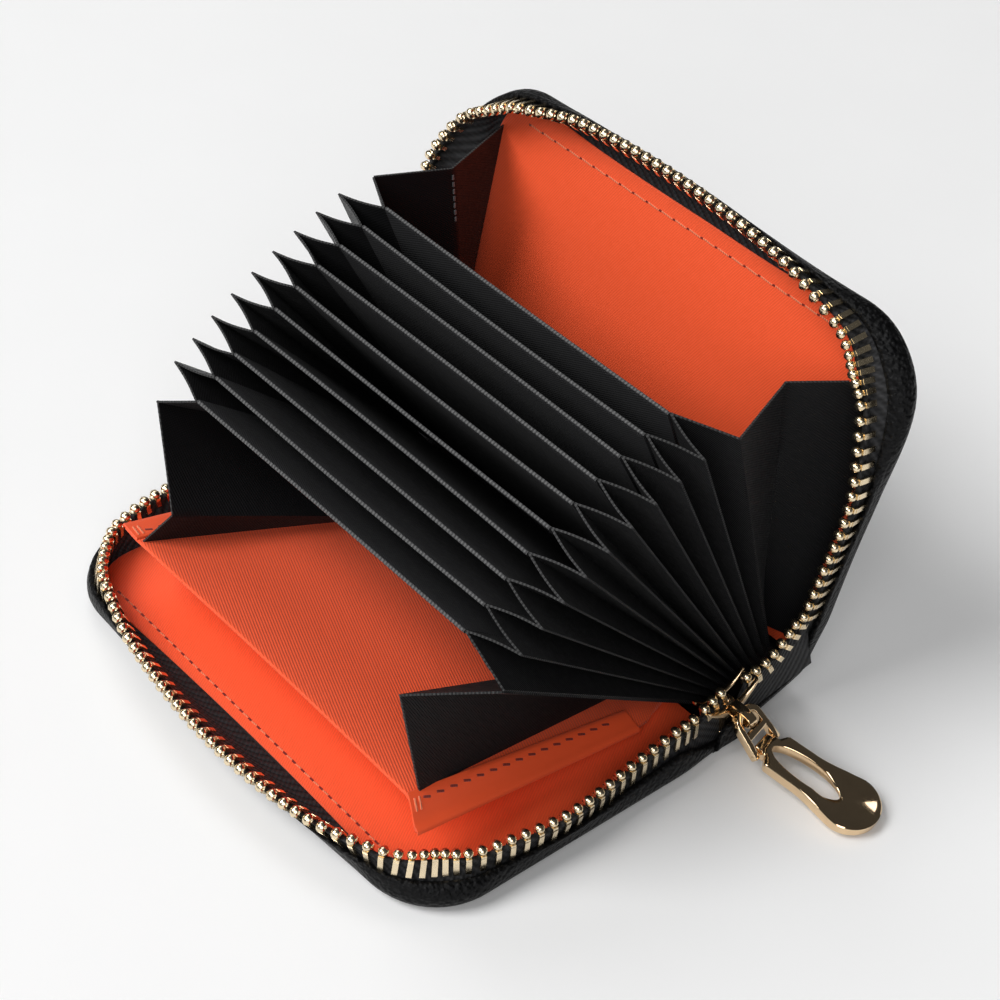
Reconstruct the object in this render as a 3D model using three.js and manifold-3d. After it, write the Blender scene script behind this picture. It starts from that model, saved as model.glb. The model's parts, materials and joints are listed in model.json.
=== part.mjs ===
// Zip-round card case, lying open: front cover flat on the table, spine raised, rear cover leaning up,
// a fan of ten fabric dividers with pleated gussets between the covers, and a zip slider with its pull.
// Millimetres, +Z up. Origin: centre of the front cover's outer face, on the table.
// +X runs from the front cover's free edge to the spine, +Y along the spine away from the slider.

import * as THREE from 'three';
import { mergeVertices } from 'three/addons/utils/BufferGeometryUtils.js';
import Module from 'manifold-3d';

const wasm = await Module();
wasm.setup();

// Covers
const COVER_LENGTH = 121;
const COVER_WIDTH = 81;
const CORNER_RADIUS = 15.5;
const LEATHER = 1.3;
const EDGE_ROUND = 4;
const RIM_HEIGHT = 6.5;
const RIM_AT_FOLD = 2.6;
const RIM_RISE = 16;
const WAIST = 2;
const BOARD = 0.7;
const LINING = 0.5;
const LINING_INSET = 3;
const BOARD_INSET = 4.5;
const LAYER_GAP = 0.3;
const FOLD_GAP = 0.3;
const FOLD_CLEARANCE = 2.8;

// Flare of the soft walls: how far the teeth lean out in the middle of a side, and in at the corners
const LONG_SIDE_FLARE = 10;
const NEAR_END_FLARE = 1.5;
const FAR_END_FLARE = 6;
const REAR_FAR_END_FLARE = 12;
const CORNER_LEAN = 3.3;
const REAR_FAR_CORNER_LEAN = 0.5;
const FLARE_POWER = 1.5;

// Spine and folds
const SPINE_WIDTH = 22;
const SPINE_BULGE = 0.8;
const HINGE_HEIGHT = 2;
const SPINE_ANGLE = 13;
const REAR_ANGLE = 81;

// Zip
const TAPE = 0.6;
const TAPE_CLEARANCE = 0.55;
const TAPE_BOTTOM = 3.5;
const TAPE_TOP = 7.8;
const BEAD_WIDTH = 1.1;
const BEAD_HEIGHT = 1.2;
const TOOTH_PITCH = 3;
const TOOTH_WIDTH = 1.4;
const TOOTH_NECK = 0.8;
const TOOTH_DEPTH = 2.2;
const TOOTH_LEG = 2;
const TOOTH_HEAD = 1.2;
const FRONT_ROW_END = 7;
const REAR_ROW_END = 10;

// Accordion
const DIVIDERS = 10;
const DIVIDER_LENGTH = 82;
const DIVIDER_HEIGHT = 76;
const DIVIDER = 0.8;
const FIRST_DIVIDER_AT = 3.3;
const DIVIDER_PITCH = 1.577;
const DIVIDER_LIFT = 2;
const FIRST_DIVIDER_ANGLE = 143.5;
const LAST_DIVIDER_ANGLE = 112.5;
const GUSSET = 0.4;
const PLEAT_DEPTH = 11.7;
const PLEAT_DEPTH_AT_BASE = 10;
const GUSSET_START = 3;

// Wide gussets of the two outer compartments: where they start up the sheets, and where their folds lie
const WIDE_START = 0.25;
const WIDE_PEAK_AT = 0.14;
const FRONT_NEAR_VALLEY_AT = 0.42;
const FRONT_NEAR_VALLEY_LIFT = 9.2;
const FRONT_FAR_VALLEY_AT = 0.8;
const REAR_NEAR_VALLEY_AT = 0.6;
const REAR_FAR_VALLEY_AT = 0.5;
const FRONT_VALLEY_TUCK = 2.4;
const REAR_VALLEY_TUCK = 9.5;
const FRONT_GUSSET_HEIGHT = 68;
const REAR_GUSSET_HEIGHT = 69;
const REAR_GUSSET_INSET = 5;

// Front pocket
const PANEL_LENGTH = 96;
const PANEL_HEIGHT = 73.5;
const PANEL = 0.8;
const PANEL_ANGLE = 168;
const BINDING_WIDTH = 3.6;
const BINDING = 0.5;
const BINDING_START = 16;

// Slider and pull
const SLIDER_HEIGHT = 10;
const SLIDER_MOUTH = 12.6;
const SLIDER_TAIL = 6.4;
const SLIDER_SHOULDER = 2;
const SLIDER_NOTCH = 6;
const SLIDER_NOTCH_DEPTH = 1.5;
const SLIDER_PLATE = 1;
const SLIDER_CLEARANCE = 0.4;
const SPINE_END_CLEARANCE = 0.7;
const SLIDER_X = 39.5;
const SLIDER_Z = 9.6;
const FLANGE = 0.9;
const WEDGE_LENGTH = 4;
const BRIDGE_WIDTH = 2;
const BRIDGE_BAR = 0.8;
const BRIDGE_SPAN = 4;
const BRIDGE_REACH = 5.6;
const BRIDGE_RISE = 1.6;
const CHAIN_WIDTH = 3.6;
const LINK_LENGTH = 7.4;
const LINK_WIDTH = 9.2;
const LINK_BAR = 1.3;
const LINK_THICKNESS = 1.8;
const PIN_RADIUS = 0.4;
const PIN_CLEARANCE = 0.2;
const PIN_HEIGHT = 6.2;
const PULL_YAW = 14;
const TAB_REACH = 26.3;
const TAB_WIDTH = 9.8;
const TAB_WAIST_WIDTH = 10;
const TAB_END_WIDTH = 14.5;
const TAB_SHOULDER = 2;
const TAB_CURVE = 6;
const TAB_THICKNESS = 2.4;
const TAB_SLOT_WIDTH = 6;
const TAB_SLOT_LENGTH = 16.2;
const TAB_SLOT_START = 4;
const TAB_FLOOR_GAP = 0.3;
const TONGUE_LENGTH = 2;
const TONGUE_WALL = 0.8;
const DISH_RADIUS = 16;
const DISH_DEPTH = 0.7;

const HALF_LENGTH = COVER_LENGTH / 2;
const HALF_WIDTH = COVER_WIDTH / 2;
const BOARD_Z = LEATHER + LAYER_GAP;
const LINING_Z = BOARD_Z + BOARD + LAYER_GAP;
const INNER_FACE = LINING_Z + LINING;
const BEAD_Z = TAPE_TOP + LAYER_GAP;
const TEETH_TOP = BEAD_Z + TOOTH_LEG + TOOTH_HEAD;
const TAPE_INSET = LEATHER + TAPE_CLEARANCE + TAPE / 2;
const CHANNEL = TOOTH_DEPTH + 2 * SLIDER_CLEARANCE;
const SLIDER_Y = WAIST + TAPE_INSET - HALF_LENGTH;
const SPINE_LENGTH = -2 * (SLIDER_Y + CHANNEL / 2 + SLIDER_PLATE + SPINE_END_CLEARANCE);
const DIVIDER_STEP = (FIRST_DIVIDER_ANGLE - LAST_DIVIDER_ANGLE) / (DIVIDERS - 1);
const PATH_STEPS = 48;

const rad = THREE.MathUtils.degToRad;
const LEATHER_LOOK = { color: 0x151515, roughness: 0.5, metalness: 0 };
const BOARD_LOOK = { color: 0x8c7a60, roughness: 0.9, metalness: 0 };
const LINING_LOOK = { color: 0xe84f1f, roughness: 0.75, metalness: 0 };
const FABRIC_LOOK = { color: 0x1c1c1e, roughness: 0.8, metalness: 0 };
const BRASS_LOOK = { color: 0xd8b878, roughness: 0.22, metalness: 1 };

const part = new THREE.Group();

function addPiece(parent, name, geometry, look) {
  const mesh = new THREE.Mesh(geometry, new THREE.MeshStandardMaterial(look));
  mesh.name = name;
  parent.add(mesh);
}

// Solid helpers

function toSolid(geometry) {
  const bare = geometry.clone();
  bare.deleteAttribute('normal');
  bare.deleteAttribute('uv');
  const merged = mergeVertices(bare, 1e-4);
  return new wasm.Manifold(new wasm.Mesh({
    numProp: 3,
    vertProperties: new Float32Array(merged.attributes.position.array),
    triVerts: new Uint32Array(merged.index.array),
  }));
}

function toGeometry(solid) {
  const mesh = solid.getMesh();
  const geometry = new THREE.BufferGeometry();
  geometry.setAttribute('position', new THREE.BufferAttribute(mesh.vertProperties, 3));
  geometry.setIndex(new THREE.BufferAttribute(mesh.triVerts, 1));
  return geometry;
}

function box(xs, ys, zs) {
  const [x0, x1] = xs;
  const [y0, y1] = ys;
  const [z0, z1] = zs;
  const geometry = new THREE.BoxGeometry(x1 - x0, y1 - y0, z1 - z0);
  return geometry.translate((x0 + x1) / 2, (y0 + y1) / 2, (z0 + z1) / 2);
}

function geometryOf(points, faces) {
  const geometry = new THREE.BufferGeometry();
  geometry.setAttribute('position', new THREE.Float32BufferAttribute(points.flatMap((p) => p.toArray()), 3));
  geometry.setIndex(faces.flat());
  return geometry;
}

// Joins closed rings of equally many points, and closes both ends with the given end faces.
function loft(rings, endFaces) {
  const count = rings[0].length;
  const faces = [];
  for (let r = 0; r + 1 < rings.length; r += 1) {
    for (let i = 0; i < count; i += 1) {
      const a = r * count + i;
      const b = r * count + ((i + 1) % count);
      faces.push([a, b, b + count], [a, b + count, a + count]);
    }
  }
  const last = (rings.length - 1) * count;
  for (const [a, b, c] of endFaces) {
    faces.push([a, c, b], [last + a, last + b, last + c]);
  }
  return geometryOf(rings.flat(), faces);
}

function flatEndFaces(points) {
  return THREE.ShapeUtils.triangulateShape(points, []);
}

// Cover outline

// Plan of a cover's outer wall, from the near end of the fold round the free edge to its far end.
function wallPath() {
  const path = new THREE.Path();
  const waist = HALF_LENGTH - WAIST;
  const run = HALF_WIDTH - RIM_RISE;
  const cornerX = CORNER_RADIUS - HALF_WIDTH;
  const cornerY = HALF_LENGTH - CORNER_RADIUS;
  path.moveTo(HALF_WIDTH, -waist);
  path.bezierCurveTo(HALF_WIDTH - RIM_RISE / 3, -waist, run + RIM_RISE / 3, -HALF_LENGTH, run, -HALF_LENGTH);
  path.lineTo(cornerX, -HALF_LENGTH);
  path.absarc(cornerX, -cornerY, CORNER_RADIUS, -Math.PI / 2, Math.PI, true);
  path.lineTo(-HALF_WIDTH, cornerY);
  path.absarc(cornerX, cornerY, CORNER_RADIUS, Math.PI, Math.PI / 2, true);
  path.lineTo(run, HALF_LENGTH);
  path.bezierCurveTo(run + RIM_RISE / 3, HALF_LENGTH, HALF_WIDTH - RIM_RISE / 3, waist, HALF_WIDTH, waist);
  return path;
}

const NEAR_END = { flare: NEAR_END_FLARE, lean: CORNER_LEAN };
const FRONT_ENDS = [NEAR_END, { flare: FAR_END_FLARE, lean: CORNER_LEAN }];
const REAR_ENDS = [{ flare: REAR_FAR_END_FLARE, lean: REAR_FAR_CORNER_LEAN }, NEAR_END];
const WALL = wallPath();
const WALL_LENGTH = WALL.getLength();

function bowAt(distanceFromMiddle, halfSpan) {
  const share = Math.min(1, Math.abs(distanceFromMiddle) / halfSpan);
  return Math.cos(share * Math.PI / 2) ** 2;
}

// One place on the wall: its plan point, outward direction, flare of the teeth and share of the full
// rim height. The ends give the flare and corner lean at the wall's first and second end.
function wallStation(share, ends) {
  const point = WALL.getPointAt(share);
  const tangent = WALL.getTangentAt(share);
  const out = new THREE.Vector2(tangent.y, -tangent.x).negate();
  const endMiddle = (CORNER_RADIUS - RIM_RISE) / 2;
  const endSpan = HALF_WIDTH - (CORNER_RADIUS + RIM_RISE) / 2;
  const onLongSide = Math.max(0, -out.x);
  const onEnds = Math.max(0, Math.abs(out.y) - onLongSide);
  const onCorner = 2 * onLongSide * Math.abs(out.y);
  const end = ends[point.y < 0 ? 0 : 1];
  const flare = LONG_SIDE_FLARE * onLongSide * bowAt(point.y, HALF_LENGTH)
    + end.flare * onEnds * bowAt(point.x - endMiddle, endSpan)
    - end.lean * onCorner;
  const rise = THREE.MathUtils.smoothstep(HALF_WIDTH - point.x, 0, RIM_RISE);
  return { point, out, flare, rim: THREE.MathUtils.lerp(RIM_AT_FOLD / RIM_HEIGHT, 1, rise) };
}

// A point on a wall station, moved in from the outer face and up, leaning with the flare.
function onWall(station, inset, z) {
  const lean = station.flare * (z / TEETH_TOP) ** FLARE_POWER;
  const { point, out } = station;
  return new THREE.Vector3(point.x + out.x * (lean - inset), point.y + out.y * (lean - inset), z);
}

function wallStations(from, to, ends) {
  const stations = [];
  for (let i = 0; i <= PATH_STEPS; i += 1) {
    stations.push(wallStation(THREE.MathUtils.lerp(from, to, i / PATH_STEPS), ends));
  }
  return stations;
}

// Wall section of the leather, from the outer floor round the edge to the inner floor: inset and height.
function leatherSection() {
  const across = (radius, angle) => EDGE_ROUND - radius * Math.cos(angle);
  const up = (radius, angle) => EDGE_ROUND - radius * Math.sin(angle);
  const arc = (radius, angle) => [across(radius, angle), up(radius, angle)];
  const inner = EDGE_ROUND - LEATHER;
  const outerFace = [90, 60, 30, 0].map((angle) => [...arc(EDGE_ROUND, rad(angle)), false]);
  const innerFace = [0, 45, 90].map((angle) => [...arc(inner, rad(angle)), true]);
  return [...outerFace, [0, RIM_HEIGHT, false], [LEATHER, RIM_HEIGHT, true], ...innerFace];
}

function leatherShell(ends) {
  const stations = wallStations(0, 1, ends);
  const past = HALF_WIDTH + 2 * EDGE_ROUND;
  const waist = HALF_LENGTH - WAIST;
  const rings = leatherSection().map(([inset, z, isInner]) => {
    const innerScale = (rim) => (RIM_HEIGHT * rim - LEATHER) / (RIM_HEIGHT - LEATHER);
    const height = (rim) => (isInner ? LEATHER + (z - LEATHER) * innerScale(rim) : z * rim);
    const ring = stations.map((station) => onWall(station, inset, height(station.rim)));
    const endHeight = height(stations[0].rim);
    ring.push(new THREE.Vector3(past - inset, waist - inset, endHeight));
    ring.push(new THREE.Vector3(past - inset, inset - waist, endHeight));
    return ring.reverse();
  });
  const tray = toSolid(loft(rings, flatEndFaces(rings[0])));
  const reach = 2 * past;
  const cut = toSolid(box([HALF_WIDTH - FOLD_GAP, reach], [-reach, reach], [-reach, reach]));
  return toGeometry(tray.subtract(cut));
}

// A flat layer of a cover, set in from the wall and ending short of the fold.
function coverLayer(inset, z, thickness) {
  const edge = HALF_WIDTH - FOLD_CLEARANCE;
  const outline = wallStations(0, 1, FRONT_ENDS)
    .map(({ point, out }) => point.clone().addScaledVector(out, -inset))
    .filter((point) => point.x < edge);
  const [near, far] = [outline[0].y, outline[outline.length - 1].y];
  outline.unshift(new THREE.Vector2(edge, near));
  outline.push(new THREE.Vector2(edge, far));
  const shape = new THREE.Shape(outline);
  return new THREE.ExtrudeGeometry(shape, { depth: thickness, bevelEnabled: false }).translate(0, 0, z);
}

// Zip tape and teeth

// A strip that runs along the wall, stopping short of the fold at both ends. Its convex section is a list of
// places across the tape, counted outwards from its middle, and heights.
function wallStrip(rowEnd, ends, section) {
  const end = rowEnd / WALL_LENGTH;
  const ringAt = (station) => section.map(([across, z]) => onWall(station, TAPE_INSET - across, z));
  const fan = section.slice(2).map((_, i) => [0, i + 1, i + 2]);
  return loft(wallStations(end, 1 - end, ends).map(ringAt), fan);
}

function zipTape(rowEnd, ends) {
  const half = TAPE / 2;
  const section = [[-half, TAPE_BOTTOM], [half, TAPE_BOTTOM], [half, TAPE_TOP], [-half, TAPE_TOP]];
  return wallStrip(rowEnd, ends, section);
}

function zipBead(rowEnd, ends) {
  const half = BEAD_WIDTH / 2;
  return wallStrip(rowEnd, ends, [[-half, BEAD_Z], [half, BEAD_Z], [0, BEAD_Z + BEAD_HEIGHT]]);
}

// One tooth: a leg clamped on the bead and a narrower head, standing along +Y of its shape.
function toothGeometry() {
  const half = TOOTH_WIDTH / 2;
  const neck = TOOTH_NECK / 2;
  const tip = TOOTH_LEG + TOOTH_HEAD;
  const side = [[half, 0], [half, TOOTH_LEG], [neck, TOOTH_LEG + neck], [neck, tip]];
  const outline = [...side, ...side.map(([x, y]) => [-x, y]).reverse()];
  const shape = new THREE.Shape(outline.map(([x, y]) => new THREE.Vector2(x, y)));
  const geometry = new THREE.ExtrudeGeometry(shape, { depth: TOOTH_DEPTH, bevelEnabled: false });
  return geometry.translate(0, 0, -TOOTH_DEPTH / 2);
}

// Row of teeth fused with the bead that carries them. Shift moves the row along by a share of the pitch.
function teethRow(rowEnd, ends, shift) {
  const tooth = toothGeometry();
  const usable = WALL_LENGTH - 2 * rowEnd - 2 * TOOTH_PITCH;
  const count = Math.floor(usable / TOOTH_PITCH);
  const start = (WALL_LENGTH - count * TOOTH_PITCH) / 2 + shift * TOOTH_PITCH;
  const solids = [toSolid(zipBead(rowEnd, ends))];
  for (let i = 0; i < count; i += 1) {
    const station = wallStation((start + i * TOOTH_PITCH) / WALL_LENGTH, ends);
    const foot = onWall(station, TAPE_INSET, BEAD_Z + BEAD_HEIGHT / 4);
    const head = onWall(station, TAPE_INSET, TEETH_TOP);
    const up = head.clone().sub(foot).normalize();
    const along = new THREE.Vector3(-station.out.y, station.out.x, 0);
    const frame = new THREE.Matrix4().makeBasis(along, up, along.clone().cross(up));
    solids.push(toSolid(tooth.clone().applyMatrix4(frame.setPosition(foot))));
  }
  return toGeometry(wasm.Manifold.union(solids));
}

function addCover(parent, side, rowEnd, ends, shift) {
  addPiece(parent, `${side}_cover_leather`, leatherShell(ends), LEATHER_LOOK);
  addPiece(parent, `${side}_cover_board`, coverLayer(BOARD_INSET, BOARD_Z, BOARD), BOARD_LOOK);
  addPiece(parent, `${side}_cover_lining`, coverLayer(LINING_INSET, LINING_Z, LINING), LINING_LOOK);
  addPiece(parent, `${side}_zip_tape`, zipTape(rowEnd, ends), FABRIC_LOOK);
  addPiece(parent, `${side}_zip_teeth`, teethRow(rowEnd, ends, shift), BRASS_LOOK);
}

// Folds: each is a line along Y, given by its place in X and Z and the angle of what leaves it, from +X to +Z

const FRONT_FOLD = new THREE.Vector3(HALF_WIDTH, 0, HINGE_HEIGHT);

function direction(angle) {
  return new THREE.Vector3(Math.cos(rad(angle)), 0, Math.sin(rad(angle)));
}

// A point in the spine's own frame: along it from the front fold, and up from the fold's height.
function onSpine(along, up) {
  return FRONT_FOLD.clone()
    .addScaledVector(direction(SPINE_ANGLE), along)
    .addScaledVector(direction(SPINE_ANGLE + 90), up);
}

function foldGroup(place, angle) {
  const group = new THREE.Group();
  group.position.copy(place);
  group.rotation.y = -rad(angle);
  part.add(group);
  return group;
}

// Spine: a strip whose outer face bulges a little, with its board and lining

function addSpine() {
  const group = foldGroup(FRONT_FOLD, SPINE_ANGLE);
  const strip = (margin, low, thickness, bulge, length) => {
    const shape = new THREE.Shape();
    const end = SPINE_WIDTH - margin;
    const middle = SPINE_WIDTH / 2;
    shape.moveTo(margin, low);
    shape.quadraticCurveTo(middle, low - 2 * bulge, end, low);
    shape.lineTo(end, low + thickness);
    shape.quadraticCurveTo(middle, low + thickness - 2 * bulge, margin, low + thickness);
    const options = { depth: length, bevelEnabled: false, curveSegments: 6 };
    return new THREE.ExtrudeGeometry(shape, options).rotateX(Math.PI / 2).translate(0, length / 2, 0);
  };
  const inner = SPINE_LENGTH - 2 * LINING_INSET;
  const flat = (z, thickness) => strip(FOLD_CLEARANCE, z - HINGE_HEIGHT, thickness, 0, inner);
  const leather = strip(FOLD_GAP, -HINGE_HEIGHT, LEATHER, SPINE_BULGE, SPINE_LENGTH);
  addPiece(group, 'spine_leather', leather, LEATHER_LOOK);
  addPiece(group, 'spine_board', flat(BOARD_Z, BOARD), BOARD_LOOK);
  addPiece(group, 'spine_lining', flat(LINING_Z, LINING), LINING_LOOK);
}

// Rear cover: the front cover turned over about X and unfolded about the rear fold

function addRearCover() {
  const fold = foldGroup(onSpine(SPINE_WIDTH, 0), REAR_ANGLE - 180);
  const turned = new THREE.Group();
  turned.rotation.x = Math.PI;
  fold.add(turned);
  const cover = new THREE.Group();
  cover.position.copy(FRONT_FOLD).negate();
  turned.add(cover);
  addCover(cover, 'rear', REAR_ROW_END, REAR_ENDS, 0.5);
}

// Accordion

function dividerFold(index) {
  return {
    place: onSpine(FIRST_DIVIDER_AT + index * DIVIDER_PITCH, DIVIDER_LIFT),
    angle: FIRST_DIVIDER_ANGLE - index * DIVIDER_STEP,
  };
}

const PANEL_FOLD = {
  place: new THREE.Vector3(HALF_WIDTH - FOLD_CLEARANCE, 0, INNER_FACE + LAYER_GAP + PANEL / 2),
  angle: PANEL_ANGLE,
};

const REAR_FOLD = {
  place: onSpine(SPINE_WIDTH, 0).addScaledVector(direction(REAR_ANGLE + 90), INNER_FACE - HINGE_HEIGHT),
  angle: REAR_ANGLE,
};

// A point on a folding sheet, up from its fold, at a place along Y, standing off its middle towards the rear.
function onSheet({ place, angle }, up, y, offset) {
  return place.clone()
    .addScaledVector(direction(angle), up)
    .addScaledVector(direction(angle - 90), offset)
    .setY(y);
}

function name(text, index) {
  return `${text}_${String(index + 1).padStart(2, '0')}`;
}

function addDividers() {
  for (let i = 0; i < DIVIDERS; i += 1) {
    const fold = dividerFold(i);
    const group = foldGroup(fold.place, fold.angle);
    const half = DIVIDER_LENGTH / 2;
    const sheet = box([0, DIVIDER_HEIGHT], [-half, half], [-DIVIDER / 2, DIVIDER / 2]);
    addPiece(group, name('divider', i), sheet, FABRIC_LOOK);
  }
}

// A folded sheet of even thickness, from rows of points on its middle surface. Each row crosses the folds,
// and the rows follow each other up the folds. Both faces are split along the same diagonals.
function foldedSheet(rows, thickness) {
  const width = rows[0].length;
  const last = { row: rows.length - 1, fold: width - 1 };
  const normalAt = (r, i) => {
    const upFold = rows[last.row][i].clone().sub(rows[0][i]).normalize();
    const normal = new THREE.Vector3();
    for (const [a, b] of [[i - 1, i], [i, i + 1]]) {
      if (a >= 0 && b < width) {
        const across = rows[r][b].clone().sub(rows[r][a]);
        normal.add(across.cross(upFold).normalize());
      }
    }
    return normal.normalize();
  };
  const offsets = [thickness / 2, -thickness / 2];
  const moved = (point, r, i, offset) => point.clone().addScaledVector(normalAt(r, i), offset);
  const side = (offset) => rows.map((row, r) => row.map((point, i) => moved(point, r, i, offset)));
  const at = (s, r, i) => (s * rows.length + r) * width + i;
  const faces = [];
  const quad = (a, b, c, d) => faces.push([a, b, c], [a, c, d]);
  for (let r = 0; r < last.row; r += 1) {
    for (let i = 0; i < last.fold; i += 1) {
      quad(at(0, r, i), at(0, r, i + 1), at(0, r + 1, i + 1), at(0, r + 1, i));
      quad(at(1, r, i), at(1, r + 1, i), at(1, r + 1, i + 1), at(1, r, i + 1));
    }
    quad(at(0, r, 0), at(0, r + 1, 0), at(1, r + 1, 0), at(1, r, 0));
    quad(at(0, r, last.fold), at(1, r, last.fold), at(1, r + 1, last.fold), at(0, r + 1, last.fold));
  }
  for (let i = 0; i < last.fold; i += 1) {
    quad(at(0, 0, i), at(1, 0, i), at(1, 0, i + 1), at(0, 0, i + 1));
    quad(at(0, last.row, i), at(0, last.row, i + 1), at(1, last.row, i + 1), at(1, last.row, i));
  }
  return geometryOf(offsets.flatMap(side).flat(), faces);
}

const GUSSET_Y = DIVIDER_LENGTH / 2 + LAYER_GAP;

// V-pleat closing one end of the slot between two neighbouring dividers. Side is -1 near, 1 far.
function addPleat(index, side) {
  const [front, rear] = [dividerFold(index), dividerFold(index + 1)];
  const offset = GUSSET / 2 + LAYER_GAP / 2;
  const depths = [[GUSSET_START, PLEAT_DEPTH_AT_BASE], [DIVIDER_HEIGHT, PLEAT_DEPTH]];
  const rows = depths.map(([up, depth]) => {
    const a = onSheet(front, up, side * GUSSET_Y, offset);
    const b = onSheet(rear, up, side * GUSSET_Y, -offset);
    const ridge = a.clone().lerp(b, 0.5).setY(side * (GUSSET_Y + depth));
    return [a, ridge, b];
  });
  addPiece(part, name(`gusset_${side < 0 ? 'near' : 'far'}`, index), foldedSheet(rows, GUSSET), FABRIC_LOOK);
}

// Z-folded gusset of a wide compartment: from the divider out to a peak, in to a valley and out to the wall.
// The valley may stand out of the line between the sheets, away from the spine.
function addWideGusset(label, side, inner, outer, valleyFold) {
  const rows = [WIDE_START, 1].map((share) => {
    const a = onSheet(inner.fold, inner.up * share, side * inner.y, inner.offset);
    const d = onSheet(outer.fold, outer.up * share, side * outer.y, outer.offset);
    const away = new THREE.Vector3(d.z - a.z, 0, a.x - d.x).normalize();
    const peak = a.clone().lerp(d, WIDE_PEAK_AT).setY(side * (GUSSET_Y + PLEAT_DEPTH));
    const valley = a.clone().lerp(d, valleyFold.at)
      .addScaledVector(away, valleyFold.lift * share)
      .setY(side * (outer.y - valleyFold.tuck));
    return [a, peak, valley, d];
  });
  addPiece(part, `gusset_${side < 0 ? 'near' : 'far'}_${label}`, foldedSheet(rows, GUSSET), FABRIC_LOOK);
}

function addGussets() {
  const offset = GUSSET / 2 + LAYER_GAP / 2;
  const first = { fold: dividerFold(0), up: DIVIDER_HEIGHT, y: GUSSET_Y, offset: -offset };
  const last = { fold: dividerFold(DIVIDERS - 1), up: DIVIDER_HEIGHT, y: GUSSET_Y, offset };
  const panel = {
    fold: PANEL_FOLD,
    up: FRONT_GUSSET_HEIGHT,
    y: PANEL_LENGTH / 2 - BINDING_WIDTH - LAYER_GAP - GUSSET / 2,
    offset: PANEL / 2 + LAYER_GAP + GUSSET / 2,
  };
  const rear = {
    fold: REAR_FOLD,
    up: REAR_GUSSET_HEIGHT,
    y: HALF_LENGTH - REAR_GUSSET_INSET,
    offset: -LAYER_GAP - GUSSET,
  };
  const frontFolds = [[FRONT_NEAR_VALLEY_AT, FRONT_NEAR_VALLEY_LIFT], [FRONT_FAR_VALLEY_AT, 0]];
  const rearFolds = [[REAR_NEAR_VALLEY_AT, 0], [REAR_FAR_VALLEY_AT, 0]];
  for (const [end, side] of [-1, 1].entries()) {
    for (let i = 0; i + 1 < DIVIDERS; i += 1) {
      addPleat(i, side);
    }
    const fold = ([at, lift], tuck) => ({ at, lift, tuck });
    addWideGusset('front', side, first, panel, fold(frontFolds[end], FRONT_VALLEY_TUCK));
    addWideGusset('rear', side, last, rear, fold(rearFolds[end], REAR_VALLEY_TUCK));
  }
}

// Front slip pocket: a panel with a stitched strip on each side edge

function addPocket() {
  const group = foldGroup(PANEL_FOLD.place, PANEL_FOLD.angle);
  const half = PANEL_LENGTH / 2;
  const panel = box([0, PANEL_HEIGHT], [-half, half], [-PANEL / 2, PANEL / 2]);
  addPiece(group, 'pocket_panel', panel, LINING_LOOK);
  const top = -PANEL / 2 - LAYER_GAP;
  for (const [label, y0] of [['near', -half], ['far', half - BINDING_WIDTH]]) {
    const strip = box([BINDING_START, PANEL_HEIGHT], [y0, y0 + BINDING_WIDTH], [top - BINDING, top]);
    addPiece(group, `pocket_binding_${label}`, strip, LINING_LOOK);
  }
}

// Slider: two shield-shaped plates joined by a wedge at the mouth and flanges at the tail, with a bridge
// on the outer one

const OUTER_PLATE_Y = SLIDER_Y - CHANNEL / 2 - SLIDER_PLATE;
const LINK_AXIS_Y = OUTER_PLATE_Y - (BRIDGE_REACH - BRIDGE_BAR) / 2;
const LINK_AXIS = new THREE.Vector3(SLIDER_X, LINK_AXIS_Y, SLIDER_Z + BRIDGE_RISE);
const LINK_DROP = LINK_AXIS.z - PIN_HEIGHT;
const LINK_ANGLE = Math.asin(LINK_DROP / LINK_LENGTH);

// Extrudes an outline drawn in X and Z through a range of Y.
function plateXZ(shape, yLow, thickness, curveSegments) {
  const geometry = new THREE.ExtrudeGeometry(shape, { depth: thickness, bevelEnabled: false, curveSegments });
  return geometry.rotateX(Math.PI / 2).translate(0, yLow + thickness, 0);
}

function shieldShape() {
  const half = SLIDER_HEIGHT / 2;
  const mouth = SLIDER_MOUTH / 2;
  const tail = SLIDER_TAIL / 2;
  const notch = SLIDER_NOTCH / 2;
  const shape = new THREE.Shape();
  shape.moveTo(-tail, -half);
  shape.lineTo(tail, -half);
  shape.bezierCurveTo(tail, 0, mouth, 0, mouth, half - SLIDER_SHOULDER);
  shape.quadraticCurveTo(mouth, half, notch, half);
  shape.quadraticCurveTo(0, half - 2 * SLIDER_NOTCH_DEPTH, -notch, half);
  shape.quadraticCurveTo(-mouth, half, -mouth, half - SLIDER_SHOULDER);
  shape.bezierCurveTo(-mouth, 0, -tail, 0, -tail, -half);
  return shape;
}

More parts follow.
